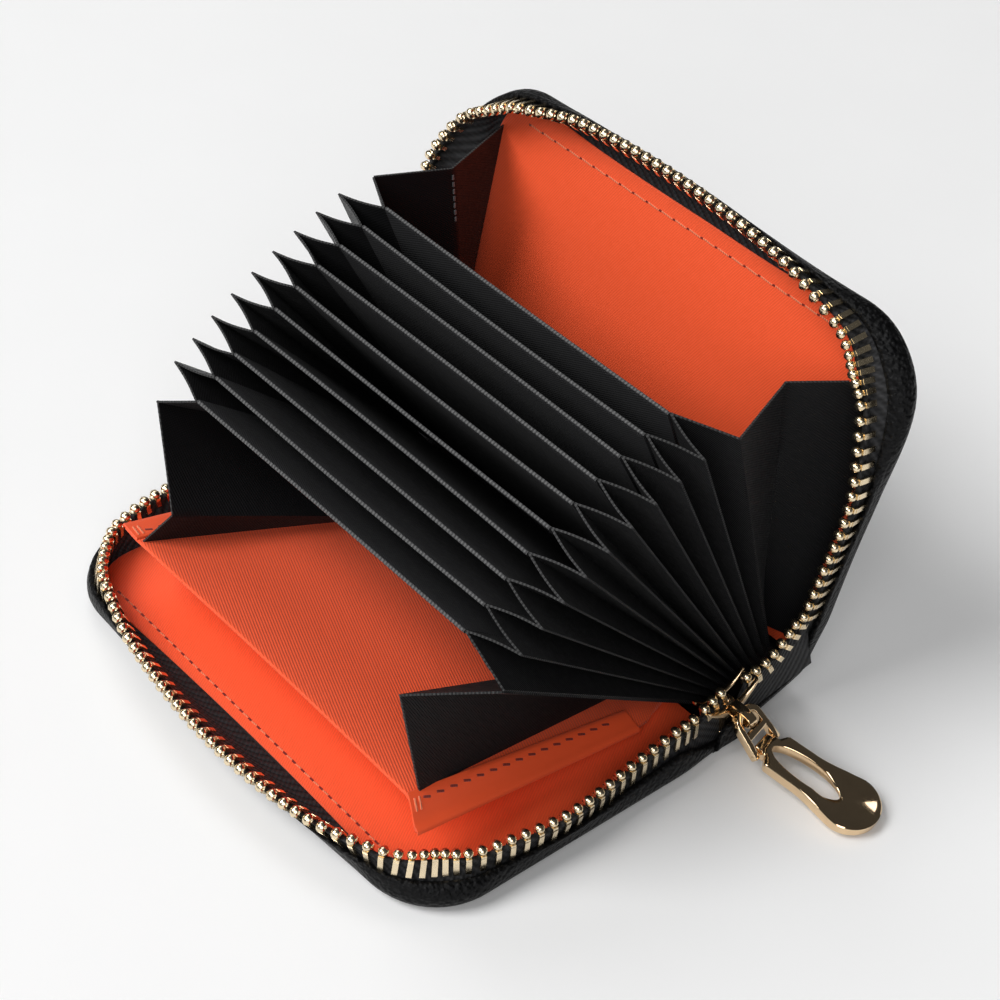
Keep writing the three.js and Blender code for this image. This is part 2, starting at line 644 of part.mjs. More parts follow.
function sliderBody() {
  const half = SLIDER_HEIGHT / 2;
  const tail = SLIDER_TAIL / 2;
  const inside = [SLIDER_Y - CHANNEL / 2 - SLIDER_PLATE / 2, SLIDER_Y + CHANNEL / 2 + SLIDER_PLATE / 2];
  const wedge = new THREE.Shape();
  const wedgeTop = half - SLIDER_NOTCH_DEPTH - FLANGE / 2;
  wedge.moveTo(0, wedgeTop - WEDGE_LENGTH);
  wedge.lineTo(FLANGE, wedgeTop - FLANGE);
  wedge.lineTo(0, wedgeTop);
  wedge.lineTo(-FLANGE, wedgeTop - FLANGE);
  const reachY = [OUTER_PLATE_Y - BRIDGE_REACH, OUTER_PLATE_Y + SLIDER_PLATE / 2];
  const around = (reach) => [BRIDGE_RISE - reach, BRIDGE_RISE + reach];
  const arch = box([-BRIDGE_WIDTH / 2, BRIDGE_WIDTH / 2], reachY, around(BRIDGE_SPAN / 2));
  const insideY = [reachY[0] + BRIDGE_BAR, OUTER_PLATE_Y];
  const window = box([-BRIDGE_WIDTH, BRIDGE_WIDTH], insideY, around(BRIDGE_SPAN / 2 - BRIDGE_BAR));
  const solids = [
    toSolid(plateXZ(shieldShape(), OUTER_PLATE_Y, SLIDER_PLATE, 5)),
    toSolid(plateXZ(shieldShape(), SLIDER_Y + CHANNEL / 2, SLIDER_PLATE, 5)),
    toSolid(plateXZ(wedge, inside[0], inside[1] - inside[0], 2)),
    toSolid(box([-tail, FLANGE - tail], inside, [-half, 0])),
    toSolid(box([tail - FLANGE, tail], inside, [-half, 0])),
    toSolid(arch).subtract(toSolid(window)),
  ];
  return toGeometry(wasm.Manifold.union(solids)).translate(SLIDER_X, 0, SLIDER_Z);
}

// Closed end of the chain below the slider, with its stop, standing on the front cover's wall by the fold.
function chainEnd() {
  const half = CHAIN_WIDTH / 2;
  const top = SLIDER_Z - SLIDER_HEIGHT / 4;
  const depth = [SLIDER_Y - TOOTH_DEPTH / 2, SLIDER_Y + TOOTH_DEPTH / 2];
  const shape = new THREE.Shape();
  shape.moveTo(-half, RIM_AT_FOLD + 2 * LAYER_GAP);
  shape.lineTo(half, RIM_AT_FOLD + 2 * LAYER_GAP);
  shape.lineTo(half, top);
  shape.lineTo(0, top + half / 2);
  shape.lineTo(-half, top);
  return plateXZ(shape, depth[0], TOOTH_DEPTH, 1).translate(SLIDER_X, 0, 0);
}

// Link: a window round the slider's bridge, a crossbar and two legs with the pin between them.
// It is drawn hanging along -Z from its axis, then swung outwards and turned a little towards the spine.
const LINK_SWING = -Math.asin(Math.sqrt(1 - (LINK_DROP / LINK_LENGTH) ** 2));
const LEG_INSIDE = LINK_WIDTH / 2 - LINK_BAR;

// A round rod along X.
function rod(radius, length) {
  return new THREE.CylinderGeometry(radius, radius, length, 12).rotateZ(Math.PI / 2);
}

function hangLink(geometry) {
  return geometry.rotateX(LINK_SWING).rotateZ(rad(PULL_YAW)).translate(LINK_AXIS.x, LINK_AXIS.y, LINK_AXIS.z);
}

function linkFrame() {
  const half = LINK_WIDTH / 2;
  const bar = LINK_BAR / 2;
  const bottom = -LINK_LENGTH - PIN_RADIUS - PIN_CLEARANCE - bar;
  const crossbar = -LINK_LENGTH + TONGUE_LENGTH + LINK_BAR;
  const shape = new THREE.Shape();
  shape.moveTo(-half, bottom);
  shape.lineTo(-LEG_INSIDE, bottom);
  shape.lineTo(-LEG_INSIDE, crossbar - LINK_BAR);
  shape.lineTo(LEG_INSIDE, crossbar - LINK_BAR);
  shape.lineTo(LEG_INSIDE, bottom);
  shape.lineTo(half, bottom);
  shape.lineTo(half, -LINK_LENGTH / 2);
  shape.lineTo(half - bar, bar);
  shape.lineTo(bar - half, bar);
  shape.lineTo(-half, -LINK_LENGTH / 2);
  const opening = new THREE.Path();
  opening.moveTo(-LEG_INSIDE, crossbar);
  opening.lineTo(LEG_INSIDE, crossbar);
  opening.lineTo(LEG_INSIDE - bar, -bar);
  opening.lineTo(bar - LEG_INSIDE, -bar);
  shape.holes.push(opening);
  const frame = toSolid(plateXZ(shape, -LINK_THICKNESS / 2, LINK_THICKNESS, 1));
  const bore = rod(PIN_RADIUS + PIN_CLEARANCE, 2 * LINK_WIDTH).translate(0, 0, -LINK_LENGTH);
  return hangLink(toGeometry(frame.subtract(toSolid(bore))));
}

function linkPin() {
  return hangLink(rod(PIN_RADIUS, LINK_WIDTH).translate(0, 0, -LINK_LENGTH));
}

// Pull tab: a spoon with a tongue on the pin, a long slot and a rounded dished end.
// It is drawn lying along -Y from the pin and then tilted until its end is just over the table.
function pullTab() {
  const neck = -TONGUE_LENGTH;
  const shoulder = TAB_WIDTH / 2;
  const tongue = LEG_INSIDE - PIN_CLEARANCE;
  const endHalf = TAB_END_WIDTH / 2;
  const waist = TAB_WAIST_WIDTH / 2;
  const endCentre = -TAB_REACH + endHalf;
  const tongueEnd = PIN_RADIUS + PIN_CLEARANCE + TONGUE_WALL;
  const shape = new THREE.Shape();
  shape.moveTo(tongue, tongueEnd);
  shape.lineTo(-tongue, tongueEnd);
  shape.lineTo(-tongue, neck);
  shape.quadraticCurveTo(-shoulder, neck, -shoulder, neck - TAB_SHOULDER);
  shape.bezierCurveTo(-waist, neck - TAB_CURVE, -waist, endCentre + TAB_CURVE, -endHalf, endCentre);
  shape.absarc(0, endCentre, endHalf, Math.PI, 2 * Math.PI, false);
  shape.bezierCurveTo(waist, endCentre + TAB_CURVE, waist, neck - TAB_CURVE, shoulder, neck - TAB_SHOULDER);
  shape.quadraticCurveTo(shoulder, neck, tongue, neck);
  const slot = new THREE.Path();
  const slotCentre = -TAB_SLOT_START - TAB_SLOT_LENGTH / 2;
  slot.absellipse(0, slotCentre, TAB_SLOT_WIDTH / 2, TAB_SLOT_LENGTH / 2, 0, 2 * Math.PI, true);
  shape.holes.push(slot);
  const depth = TAB_THICKNESS;
  const spoon = new THREE.ExtrudeGeometry(shape, { depth, bevelEnabled: false, curveSegments: 8 });
  spoon.translate(0, 0, -depth / 2);
  const hole = rod(PIN_RADIUS + PIN_CLEARANCE, TAB_WIDTH);
  const ball = new THREE.SphereGeometry(DISH_RADIUS, 40, 20);
  ball.translate(0, endCentre, depth / 2 + DISH_RADIUS - DISH_DEPTH);
  return toGeometry(toSolid(spoon).subtract(toSolid(hole)).subtract(toSolid(ball)));
}

function addPull() {
  addPiece(part, 'slider_body', sliderBody(), BRASS_LOOK);
  addPiece(part, 'chain_end', chainEnd(), BRASS_LOOK);
  addPiece(part, 'pull_link', linkFrame(), BRASS_LOOK);
  addPiece(part, 'link_pin', linkPin(), BRASS_LOOK);
  const tab = new THREE.Group();
  const run = LINK_LENGTH * Math.cos(LINK_ANGLE);
  const yaw = rad(PULL_YAW);
  tab.position.set(LINK_AXIS.x + run * Math.sin(yaw), LINK_AXIS.y - run * Math.cos(yaw), PIN_HEIGHT);
  const tilt = Math.asin((PIN_HEIGHT - TAB_THICKNESS / 2 - TAB_FLOOR_GAP) / TAB_REACH);
  tab.rotation.set(tilt, 0, yaw, 'ZYX');
  part.add(tab);
  addPiece(tab, 'pull_tab', pullTab(), BRASS_LOOK);
}

addCover(part, 'front', FRONT_ROW_END, FRONT_ENDS, 0);
addSpine();
addRearCover();
addDividers();
addGussets();
addPocket();
addPull();

export default part;
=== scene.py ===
"""Zip card case: cloth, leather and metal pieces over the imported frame, with its studio."""

import json
import logging
from bisect import bisect_right
from dataclasses import dataclass, field, replace
from enum import Enum
from itertools import accumulate
from math import asin, atan2, cos, hypot, pi, radians, sin
from typing import Callable, Iterable, Sequence

import bmesh
import bpy
from mathutils import Matrix, Vector


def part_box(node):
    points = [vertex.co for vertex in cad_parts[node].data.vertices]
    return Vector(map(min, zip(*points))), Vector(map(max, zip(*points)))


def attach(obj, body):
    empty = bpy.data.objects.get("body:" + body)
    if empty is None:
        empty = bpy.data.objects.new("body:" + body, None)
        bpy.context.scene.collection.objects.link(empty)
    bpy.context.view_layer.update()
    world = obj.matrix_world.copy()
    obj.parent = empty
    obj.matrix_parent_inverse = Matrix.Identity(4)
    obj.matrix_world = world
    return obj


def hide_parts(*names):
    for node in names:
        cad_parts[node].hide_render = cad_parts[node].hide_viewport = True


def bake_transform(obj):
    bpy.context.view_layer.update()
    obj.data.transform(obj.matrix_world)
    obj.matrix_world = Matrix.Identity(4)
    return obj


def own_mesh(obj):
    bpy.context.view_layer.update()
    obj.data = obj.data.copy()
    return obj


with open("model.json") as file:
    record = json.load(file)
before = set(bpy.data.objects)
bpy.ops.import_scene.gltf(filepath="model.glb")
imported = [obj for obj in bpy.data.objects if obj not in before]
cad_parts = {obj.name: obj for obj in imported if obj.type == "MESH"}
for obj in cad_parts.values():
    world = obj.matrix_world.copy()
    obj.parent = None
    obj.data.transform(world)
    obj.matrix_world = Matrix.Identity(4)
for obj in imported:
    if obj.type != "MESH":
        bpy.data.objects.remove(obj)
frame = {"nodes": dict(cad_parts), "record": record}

LOG = logging.getLogger("zip_card_case")
MM = 0.001

REAR_ANGLE = 81.0
PANEL_ANGLE = 168.0
LEATHER_CREASE = 50
CLOTH_CREASE = 60
TOOTH_CREASE = 38
METAL_CREASE = 35

Pair = tuple[float, float]
Colour = tuple[float, float, float]
Socket = bpy.types.NodeSocket
Place = Callable[[float, float], Vector]
Measure = Callable[[float, float], Pair]


class End(Enum):
    """The two ends of the case along the spine, by the sign of their side of the frame."""

    NEAR = -1
    FAR = 1


class CoverName(Enum):
    """The two covers."""

    FRONT = "front"
    REAR = "rear"


def lerp(start: float, end: float, share: float) -> float:
    """Returns the value that lies the given share of the way from start to end."""
    return start + (end - start) * share


def ease(share: float) -> float:
    """Returns a share from 0 to 1 that starts and stops gently."""
    held = min(1.0, max(0.0, share))
    return held * held * (3 - 2 * held)


def steps(start: float, end: float, count: int) -> list[float]:
    """Returns count + 1 even values from start to end."""
    return [lerp(start, end, index / count) for index in range(count + 1)]


def squared(value: float, power: float) -> float:
    """Returns a sine or cosine pushed out towards 1 or -1, which squares a round section."""
    return (1 if value >= 0 else -1) * abs(value) ** power


def toward(angle: float) -> Vector:
    """Returns the unit direction in the XZ plane at an angle in degrees from +X towards +Z."""
    return Vector((cos(radians(angle)), 0.0, sin(radians(angle))))


def frame_of(middle: Sequence[float], x_axis: Vector, y_axis: Vector, z_axis: Vector) -> Matrix:
    """Returns the matrix of a frame from its middle and its three axes."""
    return Matrix.Translation(middle) @ Matrix((x_axis, y_axis, z_axis)).transposed().to_4x4()


def bezier(points: Sequence[Pair], count: int) -> list[Pair]:
    """Samples a flat cubic curve.

    Args:
        points: Its four control points.
        count: How many points to return, the end point left out.

    Returns:
        The points along the curve.
    """
    curve = []
    for index in range(count):
        t = index / count
        weights = ((1 - t) ** 3, 3 * t * (1 - t) ** 2, 3 * t * t * (1 - t), t ** 3)
        curve.append(tuple(sum(w * p[axis] for w, p in zip(weights, points)) for axis in (0, 1)))
    return curve


def through(places: Sequence[float], values: Sequence[float], at: float) -> float:
    """Returns the value of a smooth curve that passes through given values.

    Args:
        places: Where the values lie, in rising order.
        values: The values.
        at: Where the curve is read.

    Returns:
        Its value there.
    """
    last = len(places) - 1
    at = min(places[-1], max(places[0], at))
    slopes = []
    for index in range(last + 1):
        low, high = max(0, index - 1), min(last, index + 1)
        slopes.append((values[high] - values[low]) / (places[high] - places[low]))
    index = min(last - 1, max(0, bisect_right(places, at) - 1))
    gap = places[index + 1] - places[index]
    t = (at - places[index]) / gap
    start = (1 + 2 * t) * (1 - t) ** 2 * values[index] + t * (1 - t) ** 2 * gap * slopes[index]
    end = t * t * (3 - 2 * t) * values[index + 1] - t * t * (1 - t) * gap * slopes[index + 1]
    return start + end


def folded_section(rise: Sequence[float], top: float, half: float) -> list[Pair]:
    """Returns the section of a sheet that is folded over at its top: heights and offsets."""
    hem = [(top + half * cos(radians(a)), half * sin(radians(a))) for a in (-60, -30, 0, 30, 60)]
    return [*[(up, -half) for up in rise], *hem, *[(up, half) for up in reversed(rise)]]


class Shader:
    """Node tree of one finish, with short ways to add nodes to it."""

    def __init__(self, name: str) -> None:
        """Starts a material with its Principled surface."""
        self.material = bpy.data.materials.new(name)
        self.material.use_nodes = True
        self.tree = self.material.node_tree
        self.surface = self.tree.nodes["Principled BSDF"]

    def set(self, **values: object) -> None:
        """Sets sockets of the surface, named with underscores for spaces."""
        for name, value in values.items():
            self.surface.inputs[name.replace("_", " ")].default_value = value

    def add(self, kind: str, inputs: dict[str, object] | None = None, **settings: object) -> bpy.types.Node:
        """Adds a node.

        Args:
            kind: The node's type, without its ShaderNode prefix.
            inputs: Values or sockets for its inputs, by name or number.
            settings: Its other properties.

        Returns:
            The node.
        """
        node = self.tree.nodes.new("ShaderNode" + kind)
        for name, value in settings.items():
            setattr(node, name, value)
        for name, value in (inputs or {}).items():
            self.feed(node.inputs[name], value)
        return node

    def feed(self, socket: Socket, value: object) -> None:
        """Links a socket to another, or sets its value."""
        if isinstance(value, Socket):
            self.tree.links.new(value, socket)
        else:
            socket.default_value = value

    def drive(self, name: str, value: Socket) -> None:
        """Links a pattern to a socket of the surface."""
        self.feed(self.surface.inputs[name], value)

    def coordinate(self, kind: str, turn: float = 0.0, scale: Sequence[float] = (1, 1, 1)) -> Socket:
        """Returns the piece's own coordinates, turned about Z in degrees and scaled."""
        source = self.add("TexCoord")
        settings = {"Vector": source.outputs[kind], "Rotation": (0, 0, radians(turn)), "Scale": scale}
        return self.add("Mapping", settings).outputs["Vector"]

    def maths(self, operation: str, first: object, second: object = 0.0) -> Socket:
        """Returns the result of one sum on two sockets or numbers."""
        return self.add("Math", {0: first, 1: second}, operation=operation).outputs[0]

    def plus(self, first: Socket, second: Socket, share: float) -> Socket:
        """Returns the first pattern with a share of the second added."""
        return self.maths("ADD", first, self.maths("MULTIPLY", second, share))

    def span(self, value: Socket, low: float, high: float, to: Pair) -> Socket:
        """Returns a socket that maps low to high onto another range, held at its ends."""
        sockets = {"Value": value, "From Min": low, "From Max": high, "To Min": to[0], "To Max": to[1]}
        return self.add("MapRange", sockets).outputs["Result"]

    def blend(self, share: Socket, first: object, second: object) -> Socket:
        """Returns a colour between two colours or sockets."""
        node = self.add("Mix", data_type="RGBA")
        self.feed(node.inputs["Factor"], share)
        self.feed(node.inputs[6], first)
        self.feed(node.inputs[7], second)
        return node.outputs[2]

    def tint(self, share: Socket, colour: Colour, dark: float, light: float) -> None:
        """Colours the surface from a darker to a lighter level of one colour."""
        self.drive("Base Color", self.blend(share, rgba(colour, dark), rgba(colour, light)))

    def emboss(self, height: Socket, depth: float, strength: float = 1.0) -> None:
        """Presses a height pattern into the surface, depth in millimetres."""
        bump = self.add("Bump", {"Height": height, "Distance": depth * MM, "Strength": strength})
        self.drive("Normal", bump.outputs["Normal"])


def rgba(colour: Colour, level: float = 1.0) -> tuple[float, float, float, float]:
    """Returns a colour with full cover, made lighter or darker by level."""
    return (colour[0] * level, colour[1] * level, colour[2] * level, 1.0)


@dataclass(frozen=True)
class PebbledLeather:
    """Black leather with a fine raised grain."""

    name: str = "pebbled_leather"
    colour: Colour = (0.0032, 0.0032, 0.0035)
    pebble: float = 0.85
    grain_depth: float = 0.35

    def material(self) -> bpy.types.Material:
        """Returns the leather's material."""
        shader = Shader(self.name)
        place = shader.coordinate("Object")
        pebbles = {"Vector": place, "Scale": 1 / (self.pebble * MM)}
        cells = shader.add("TexVoronoi", pebbles, feature="SMOOTH_F1")
        pores = shader.add("TexNoise", {"Vector": place, "Scale": 2600.0, "Detail": 3.0})
        patches = shader.add("TexNoise", {"Vector": place, "Scale": 90.0, "Detail": 2.0})
        dome = shader.span(cells.outputs["Distance"], 0.15, 0.75, (1.0, 0.0))
        height = shader.plus(dome, pores.outputs["Fac"], 0.35)
        tone = shader.span(dome, 0.0, 1.0, (0.0, 0.7))
        shader.tint(tone, self.colour, 0.55, 1.6)
        shader.drive("Roughness", shader.span(patches.outputs["Fac"], 0.35, 0.65, (0.4, 0.48)))
        shader.set(Specular_IOR_Level=0.12)
        shader.emboss(height, self.grain_depth)
        return shader.material


@dataclass(frozen=True)
class RibbedCloth:
    """Cloth with slanting ribs, measured along the piece's own UV map in millimetres."""

    name: str
    colour: Colour
    pitch: float
    slant: float
    rib_depth: float
    contrast: float = 0.5
    roughness: float = 0.7
    sheen: float = 0.2
    gloss: float = 0.35
    selvage_highlight: float = 0.0

    def material(self) -> bpy.types.Material:
        """Returns the cloth's material."""
        shader = Shader(self.name)
        scale = pi / (10 * self.pitch)
        across = shader.coordinate("UV", self.slant)
        along = shader.coordinate("UV", self.slant + 90)
        waves = {"Vector": across, "Scale": scale, "Distortion": 0.35, "Detail": 1.0}
        ribs = shader.add("TexWave", waves, wave_type="BANDS")
        crossing = {"Vector": along, "Scale": scale * 1.7, "Distortion": 0.6}
        yarns = shader.add("TexWave", crossing, wave_type="BANDS")
        slubs = shader.add("TexNoise", {"Vector": across, "Scale": 0.55, "Detail": 4.0}).outputs["Fac"]
        pattern = shader.plus(ribs.outputs["Fac"], yarns.outputs["Fac"], 0.3)
        tone = shader.plus(shader.maths("MULTIPLY", pattern, 0.62), slubs, 0.3)
        dark = rgba(self.colour, 1 - self.contrast * 0.6)
        colour = shader.blend(tone, dark, rgba(self.colour, 1 + self.contrast * 0.25))
        # A pale dotted line along the top fold: painted highlight.
        if self.selvage_highlight > 0:
            colour = self.paint_edge_highlight(shader, colour)
        shader.drive("Base Color", colour)
        levels = self.roughness - 0.06, self.roughness + 0.06
        shader.drive("Roughness", shader.span(slubs, 0.3, 0.7, levels))
        shader.set(Sheen_Weight=self.sheen, Sheen_Roughness=0.45, Specular_IOR_Level=self.gloss)
        shader.emboss(shader.plus(pattern, slubs, 0.4), self.rib_depth, 0.8)
        return shader.material

    def paint_edge_highlight(self, shader: Shader, colour: Socket) -> Socket:
        """Adds a pale dotted line along the cloth's top edge, where V is 0: a painted highlight where the
        folded edge catches the light, dotted like a selvage.

        Args:
            shader: The cloth's node tree.
            colour: The colour of the rest of the cloth.

        Returns:
            The colour with the painted edge highlight.
        """
        measure = shader.add("SeparateXYZ", {"Vector": shader.coordinate("UV")})
        edge = shader.span(shader.maths("ABSOLUTE", measure.outputs["Y"]), 0.1, 0.28, (1.0, 0.0))
        waves = {"Vector": shader.coordinate("UV", 28), "Scale": pi / 7.2}
        knots = shader.add("TexWave", waves, wave_type="BANDS")
        highlight_dots = shader.maths("MULTIPLY", edge, shader.span(knots.outputs["Fac"], 0.25, 0.75, (0.25, 1.0)))
        return shader.blend(highlight_dots, colour, rgba((self.selvage_highlight, self.selvage_highlight, self.selvage_highlight)))


@dataclass(frozen=True)
class GoldPlate:
    """Pale gold plate on cast metal."""

    name: str
    colour: Colour
    roughness: float
    wear: float = 0.06

    def material(self) -> bpy.types.Material:
        """Returns the plate's material."""
        shader = Shader(self.name)
        place = shader.coordinate("Object")
        cloud = shader.add("TexNoise", {"Vector": place, "Scale": 260.0, "Detail": 3.0})
        brushed = shader.coordinate("Object", 0, (1, 0.12, 1))
        streaks = shader.add("TexNoise", {"Vector": brushed, "Scale": 2400.0, "Detail": 2.0})
        tone = shader.span(cloud.outputs["Fac"], 0.3, 0.7, (0.0, 1.0))
        shader.tint(tone, self.colour, 0.93, 1.04)
        rough = shader.span(streaks.outputs["Fac"], 0.3, 0.7, (self.roughness, self.roughness + self.wear))
        shader.drive("Roughness", rough)
        shader.set(Metallic=1.0)
        shader.emboss(streaks.outputs["Fac"], 0.002, 0.3)
        return shader.material


@dataclass(frozen=True)
class SewingThread:
    """Twisted thread."""

    name: str
    colour: Colour

    def material(self) -> bpy.types.Material:
        """Returns the thread's material."""
        shader = Shader(self.name)
        waves = {"Vector": shader.coordinate("Object", 40), "Scale": 900.0, "Distortion": 0.5}
        twist = shader.add("TexWave", waves, wave_type="BANDS")
        shader.tint(twist.outputs["Fac"], self.colour, 0.6, 1.15)
        shader.set(Roughness=0.6, Sheen_Weight=0.25)
        shader.emboss(twist.outputs["Fac"], 0.05, 0.6)
        return shader.material


@dataclass(frozen=True)
class PressedBoard:
    """Stiffening board inside the covers."""

    name: str = "pressed_board"
    colour: Colour = (0.022, 0.02, 0.018)

    def material(self) -> bpy.types.Material:
        """Returns the board's material."""
        shader = Shader(self.name)
        place = shader.coordinate("Object")
        fibres = shader.add("TexNoise", {"Vector": place, "Scale": 900.0, "Detail": 6.0, "Roughness": 0.7})
        shader.tint(fibres.outputs["Fac"], self.colour, 0.75, 1.15)
        shader.set(Roughness=0.9)
        shader.emboss(fibres.outputs["Fac"], 0.05, 0.5)
        return shader.material


ORANGE: Colour = (0.96, 0.104, 0.027)
BLACK_CLOTH: Colour = (0.0075, 0.0075, 0.0082)
# Black cloth drawn lighter: on the dividers, the same cloth as the pleats, this is painted light on the faces
# that the lamps catch. The zip tape shares this level.
LIGHTER_BLACK_CLOTH: Colour = (0.026, 0.026, 0.0275)


class Finishes:
    """Every finish of the case, each made once."""

    def __init__(self) -> None:
        """Makes the materials."""
        self.leather = PebbledLeather().material()
        lining = RibbedCloth("orange_lining", ORANGE, pitch=0.5, slant=59, rib_depth=0.04,
                             contrast=0.24, roughness=0.62, sheen=0.15)
        pocket = RibbedCloth("ribbed_pocket_cloth", ORANGE, pitch=0.6, slant=67, rib_depth=0.1,
                             contrast=0.28, roughness=0.58, sheen=0.15)
        strip = RibbedCloth("seam_strip", ORANGE, pitch=0.22, slant=20, rib_depth=0.02,
                            contrast=0.15, roughness=0.5, sheen=0.1)
        twill = RibbedCloth("black_twill", BLACK_CLOTH, pitch=0.6, slant=58, rib_depth=0.09,
                            contrast=0.7, roughness=0.45, sheen=0.02, gloss=0.1)
        # The dividers' twill: painted light in its lighter level, and a painted highlight along its top fold.
        lit_twill = replace(twill, name="divider_twill_painted_light", colour=LIGHTER_BLACK_CLOTH, gloss=0.14, selvage_highlight=0.12)
        tape = RibbedCloth("zip_tape_weave", LIGHTER_BLACK_CLOTH, pitch=1.5, slant=52, rib_depth=0.3,
                           contrast=1.3, roughness=0.6, sheen=0.03, gloss=0.15)
        self.lining = lining.material()
        self.pocket = pocket.material()
        self.strip = strip.material()
        self.twill = twill.material()
        # Pleats and gussets: the black twill with a faint painted highlight along the top fold.
        self.pleat_twill = replace(twill, name="black_twill_edge_highlight", selvage_highlight=0.05).material()
        self.divider_twill_painted_light = lit_twill.material()
        self.tape = tape.material()
        self.teeth = GoldPlate("tooth_gold", (0.88, 0.73, 0.5), 0.22).material()
        self.gold = GoldPlate("polished_gold_plate", (0.86, 0.64, 0.4), 0.05).material()
        self.orange_thread = SewingThread("orange_thread", (0.92, 0.24, 0.11)).material()
        # Orange thread drawn dark: painted shade, for thread lying in its holes and for the shade between
        # stitches.
        self.shaded_thread = SewingThread("orange_thread_painted_shade", (0.22, 0.012, 0.004)).material()
        self.grey_thread = SewingThread("grey_thread", (0.09, 0.09, 0.095)).material()
        self.board = PressedBoard().material()


class Workpiece:
    """A mesh being shaped in millimetres, with a UV map that measures it in millimetres."""

    def __init__(self, name: str) -> None:
        """Starts an empty mesh."""
        self.name = name
        self.bm = bmesh.new()
        self.measure = self.bm.loops.layers.uv.new("measure")

    def surface(self, us: Sequence, vs: Sequence, place: Place, measure: Measure | None = None) -> None:
        """Adds a grid and lays it on a surface.

        Args:
            us: Values along the surface.
            vs: Values across it.
            place: Gives the point for a pair of values.
            measure: Gives the pair's place on the flat cloth; the pair itself by default.
        """
        across, up = len(us) - 1, len(vs) - 1
        made = bmesh.ops.create_grid(self.bm, x_segments=across, y_segments=up, size=1.0)["verts"]
        spots = {}
        for vert in made:
            spots[vert] = us[round((vert.co.x + 1) / 2 * across)], vs[round((vert.co.y + 1) / 2 * up)]
        for face in {face for vert in made for face in vert.link_faces}:
            for loop in face.loops:
                spot = spots[loop.vert]
                loop[self.measure].uv = measure(*spot) if measure else spot
        for vert, spot in spots.items():
            vert.co = place(*spot)

    def sweep(self, us: Sequence, section: Sequence[Pair], place: Callable[..., Vector],
              measure: Callable[..., Pair] | None = None) -> None:
        """Adds a closed section, swept along.

        Args:
            us: Values along the sweep.
            section: The section's flat points in order.
            place: Gives the point for a value and a flat point's two numbers.
            measure: Gives their place on the flat cloth; the value and the flat point's count by default.
        """
        def each(rule: Callable) -> Callable:
            return lambda u, spot: rule(u, *section[spot % len(section)])

        self.surface(us, range(len(section) + 1), each(place), each(measure) if measure else None)

    def thicken(self, thickness: float) -> None:
        """Gives every face a wall of the given thickness."""
        bmesh.ops.remove_doubles(self.bm, verts=self.bm.verts, dist=1e-3)
        bmesh.ops.solidify(self.bm, geom=self.bm.faces[:], thickness=thickness)

    def block(self, size: Sequence[float], place: Matrix, rounding: float = 0.0, segments: int = 2) -> None:
        """Adds a rounded block.

        Args:
            size: Its three lengths.
            place: Where its middle goes and how it is turned.
            rounding: Radius of its edges.
            segments: Faces round each edge.
        """
        matrix = place @ Matrix.Diagonal((*size, 1.0))
        made = bmesh.ops.create_cube(self.bm, size=1.0, matrix=matrix)["verts"]
        if rounding > 0:
            self.round_edges({edge for vert in made for edge in vert.link_edges}, rounding, segments)

    def round_edges(self, edges: Iterable, rounding: float, segments: int = 2) -> None:
        """Bevels edges round."""
        bmesh.ops.bevel(
            self.bm, geom=list(edges), offset=rounding, offset_type="OFFSET", segments=segments,
            profile=0.5, affect="EDGES", clamp_overlap=True, material=-1)

    def round_across(self, edges: Iterable, way: Vector, rounding: float, segments: int = 2) -> None:
        """Bevels those edges round that lie square to a way."""
        square = [e for e in edges if abs((e.verts[0].co - e.verts[1].co).dot(way)) < 1e-3]
        self.round_edges(square, rounding, segments)

    def plate(self, outline: Sequence[Pair], push: Vector, place: Place) -> set:
        """Adds a flat plate from its outline.

        Args:
            outline: The outline's flat points in order.
            push: The way and how far the plate is thick.
            place: Gives the point for a flat one.

        Returns:
            The plate's edges.
        """
        ring = [self.bm.verts.new(place(*point)) for point in outline]
        base = self.bm.faces.new(ring)
        made = bmesh.ops.extrude_face_region(self.bm, geom=[base], use_keep_orig=True)["geom"]
        lifted = [item for item in made if isinstance(item, bmesh.types.BMVert)]
        bmesh.ops.translate(self.bm, vec=push, verts=lifted)
        return {edge for vert in ring + lifted for edge in vert.link_edges}

    def done(self, material: bpy.types.Material, crease: float = 40.0) -> bpy.types.Object:
        """Closes the mesh and makes it an object in metres.

        Args:
            material: Its finish.
            crease: Edges sharper than this angle in degrees keep a hard line.

        Returns:
            The object, at the origin.
        """
        bm = self.bm
        bmesh.ops.remove_doubles(bm, verts=bm.verts, dist=1e-3)
        bmesh.ops.dissolve_degenerate(bm, dist=1e-4, edges=bm.edges)
        rims = [edge for edge in bm.edges if edge.is_boundary]
        if rims:
            bmesh.ops.holes_fill(bm, edges=rims, sides=0)
        bmesh.ops.recalc_face_normals(bm, faces=bm.faces)
        bmesh.ops.scale(bm, vec=(MM, MM, MM), verts=bm.verts)
        mesh = bpy.data.meshes.new(self.name)
        bm.to_mesh(mesh)
        bm.free()
        mesh.polygons.foreach_set("use_smooth", [True] * len(mesh.polygons))
        mesh.set_sharp_from_angle(angle=radians(crease))
        mesh.materials.append(material)
        piece = bpy.data.objects.new(self.name, mesh)
        bpy.context.scene.collection.objects.link(piece)
        return piece


def blocks(name: str, size: Sequence[float], places: Iterable[Matrix], rounding: float,
           finish: bpy.types.Material) -> bpy.types.Object:
    """Makes one piece from equal rounded blocks.

    Args:
        name: The piece's name.
        size: The three lengths of a block.
        places: Where the blocks go and how they are turned.
        rounding: Radius of their edges.
        finish: The piece's finish.

    Returns:
        The piece.
    """
    work = Workpiece(name)
    for place in places:
        work.block(size, place, rounding)
    return work.done(finish)


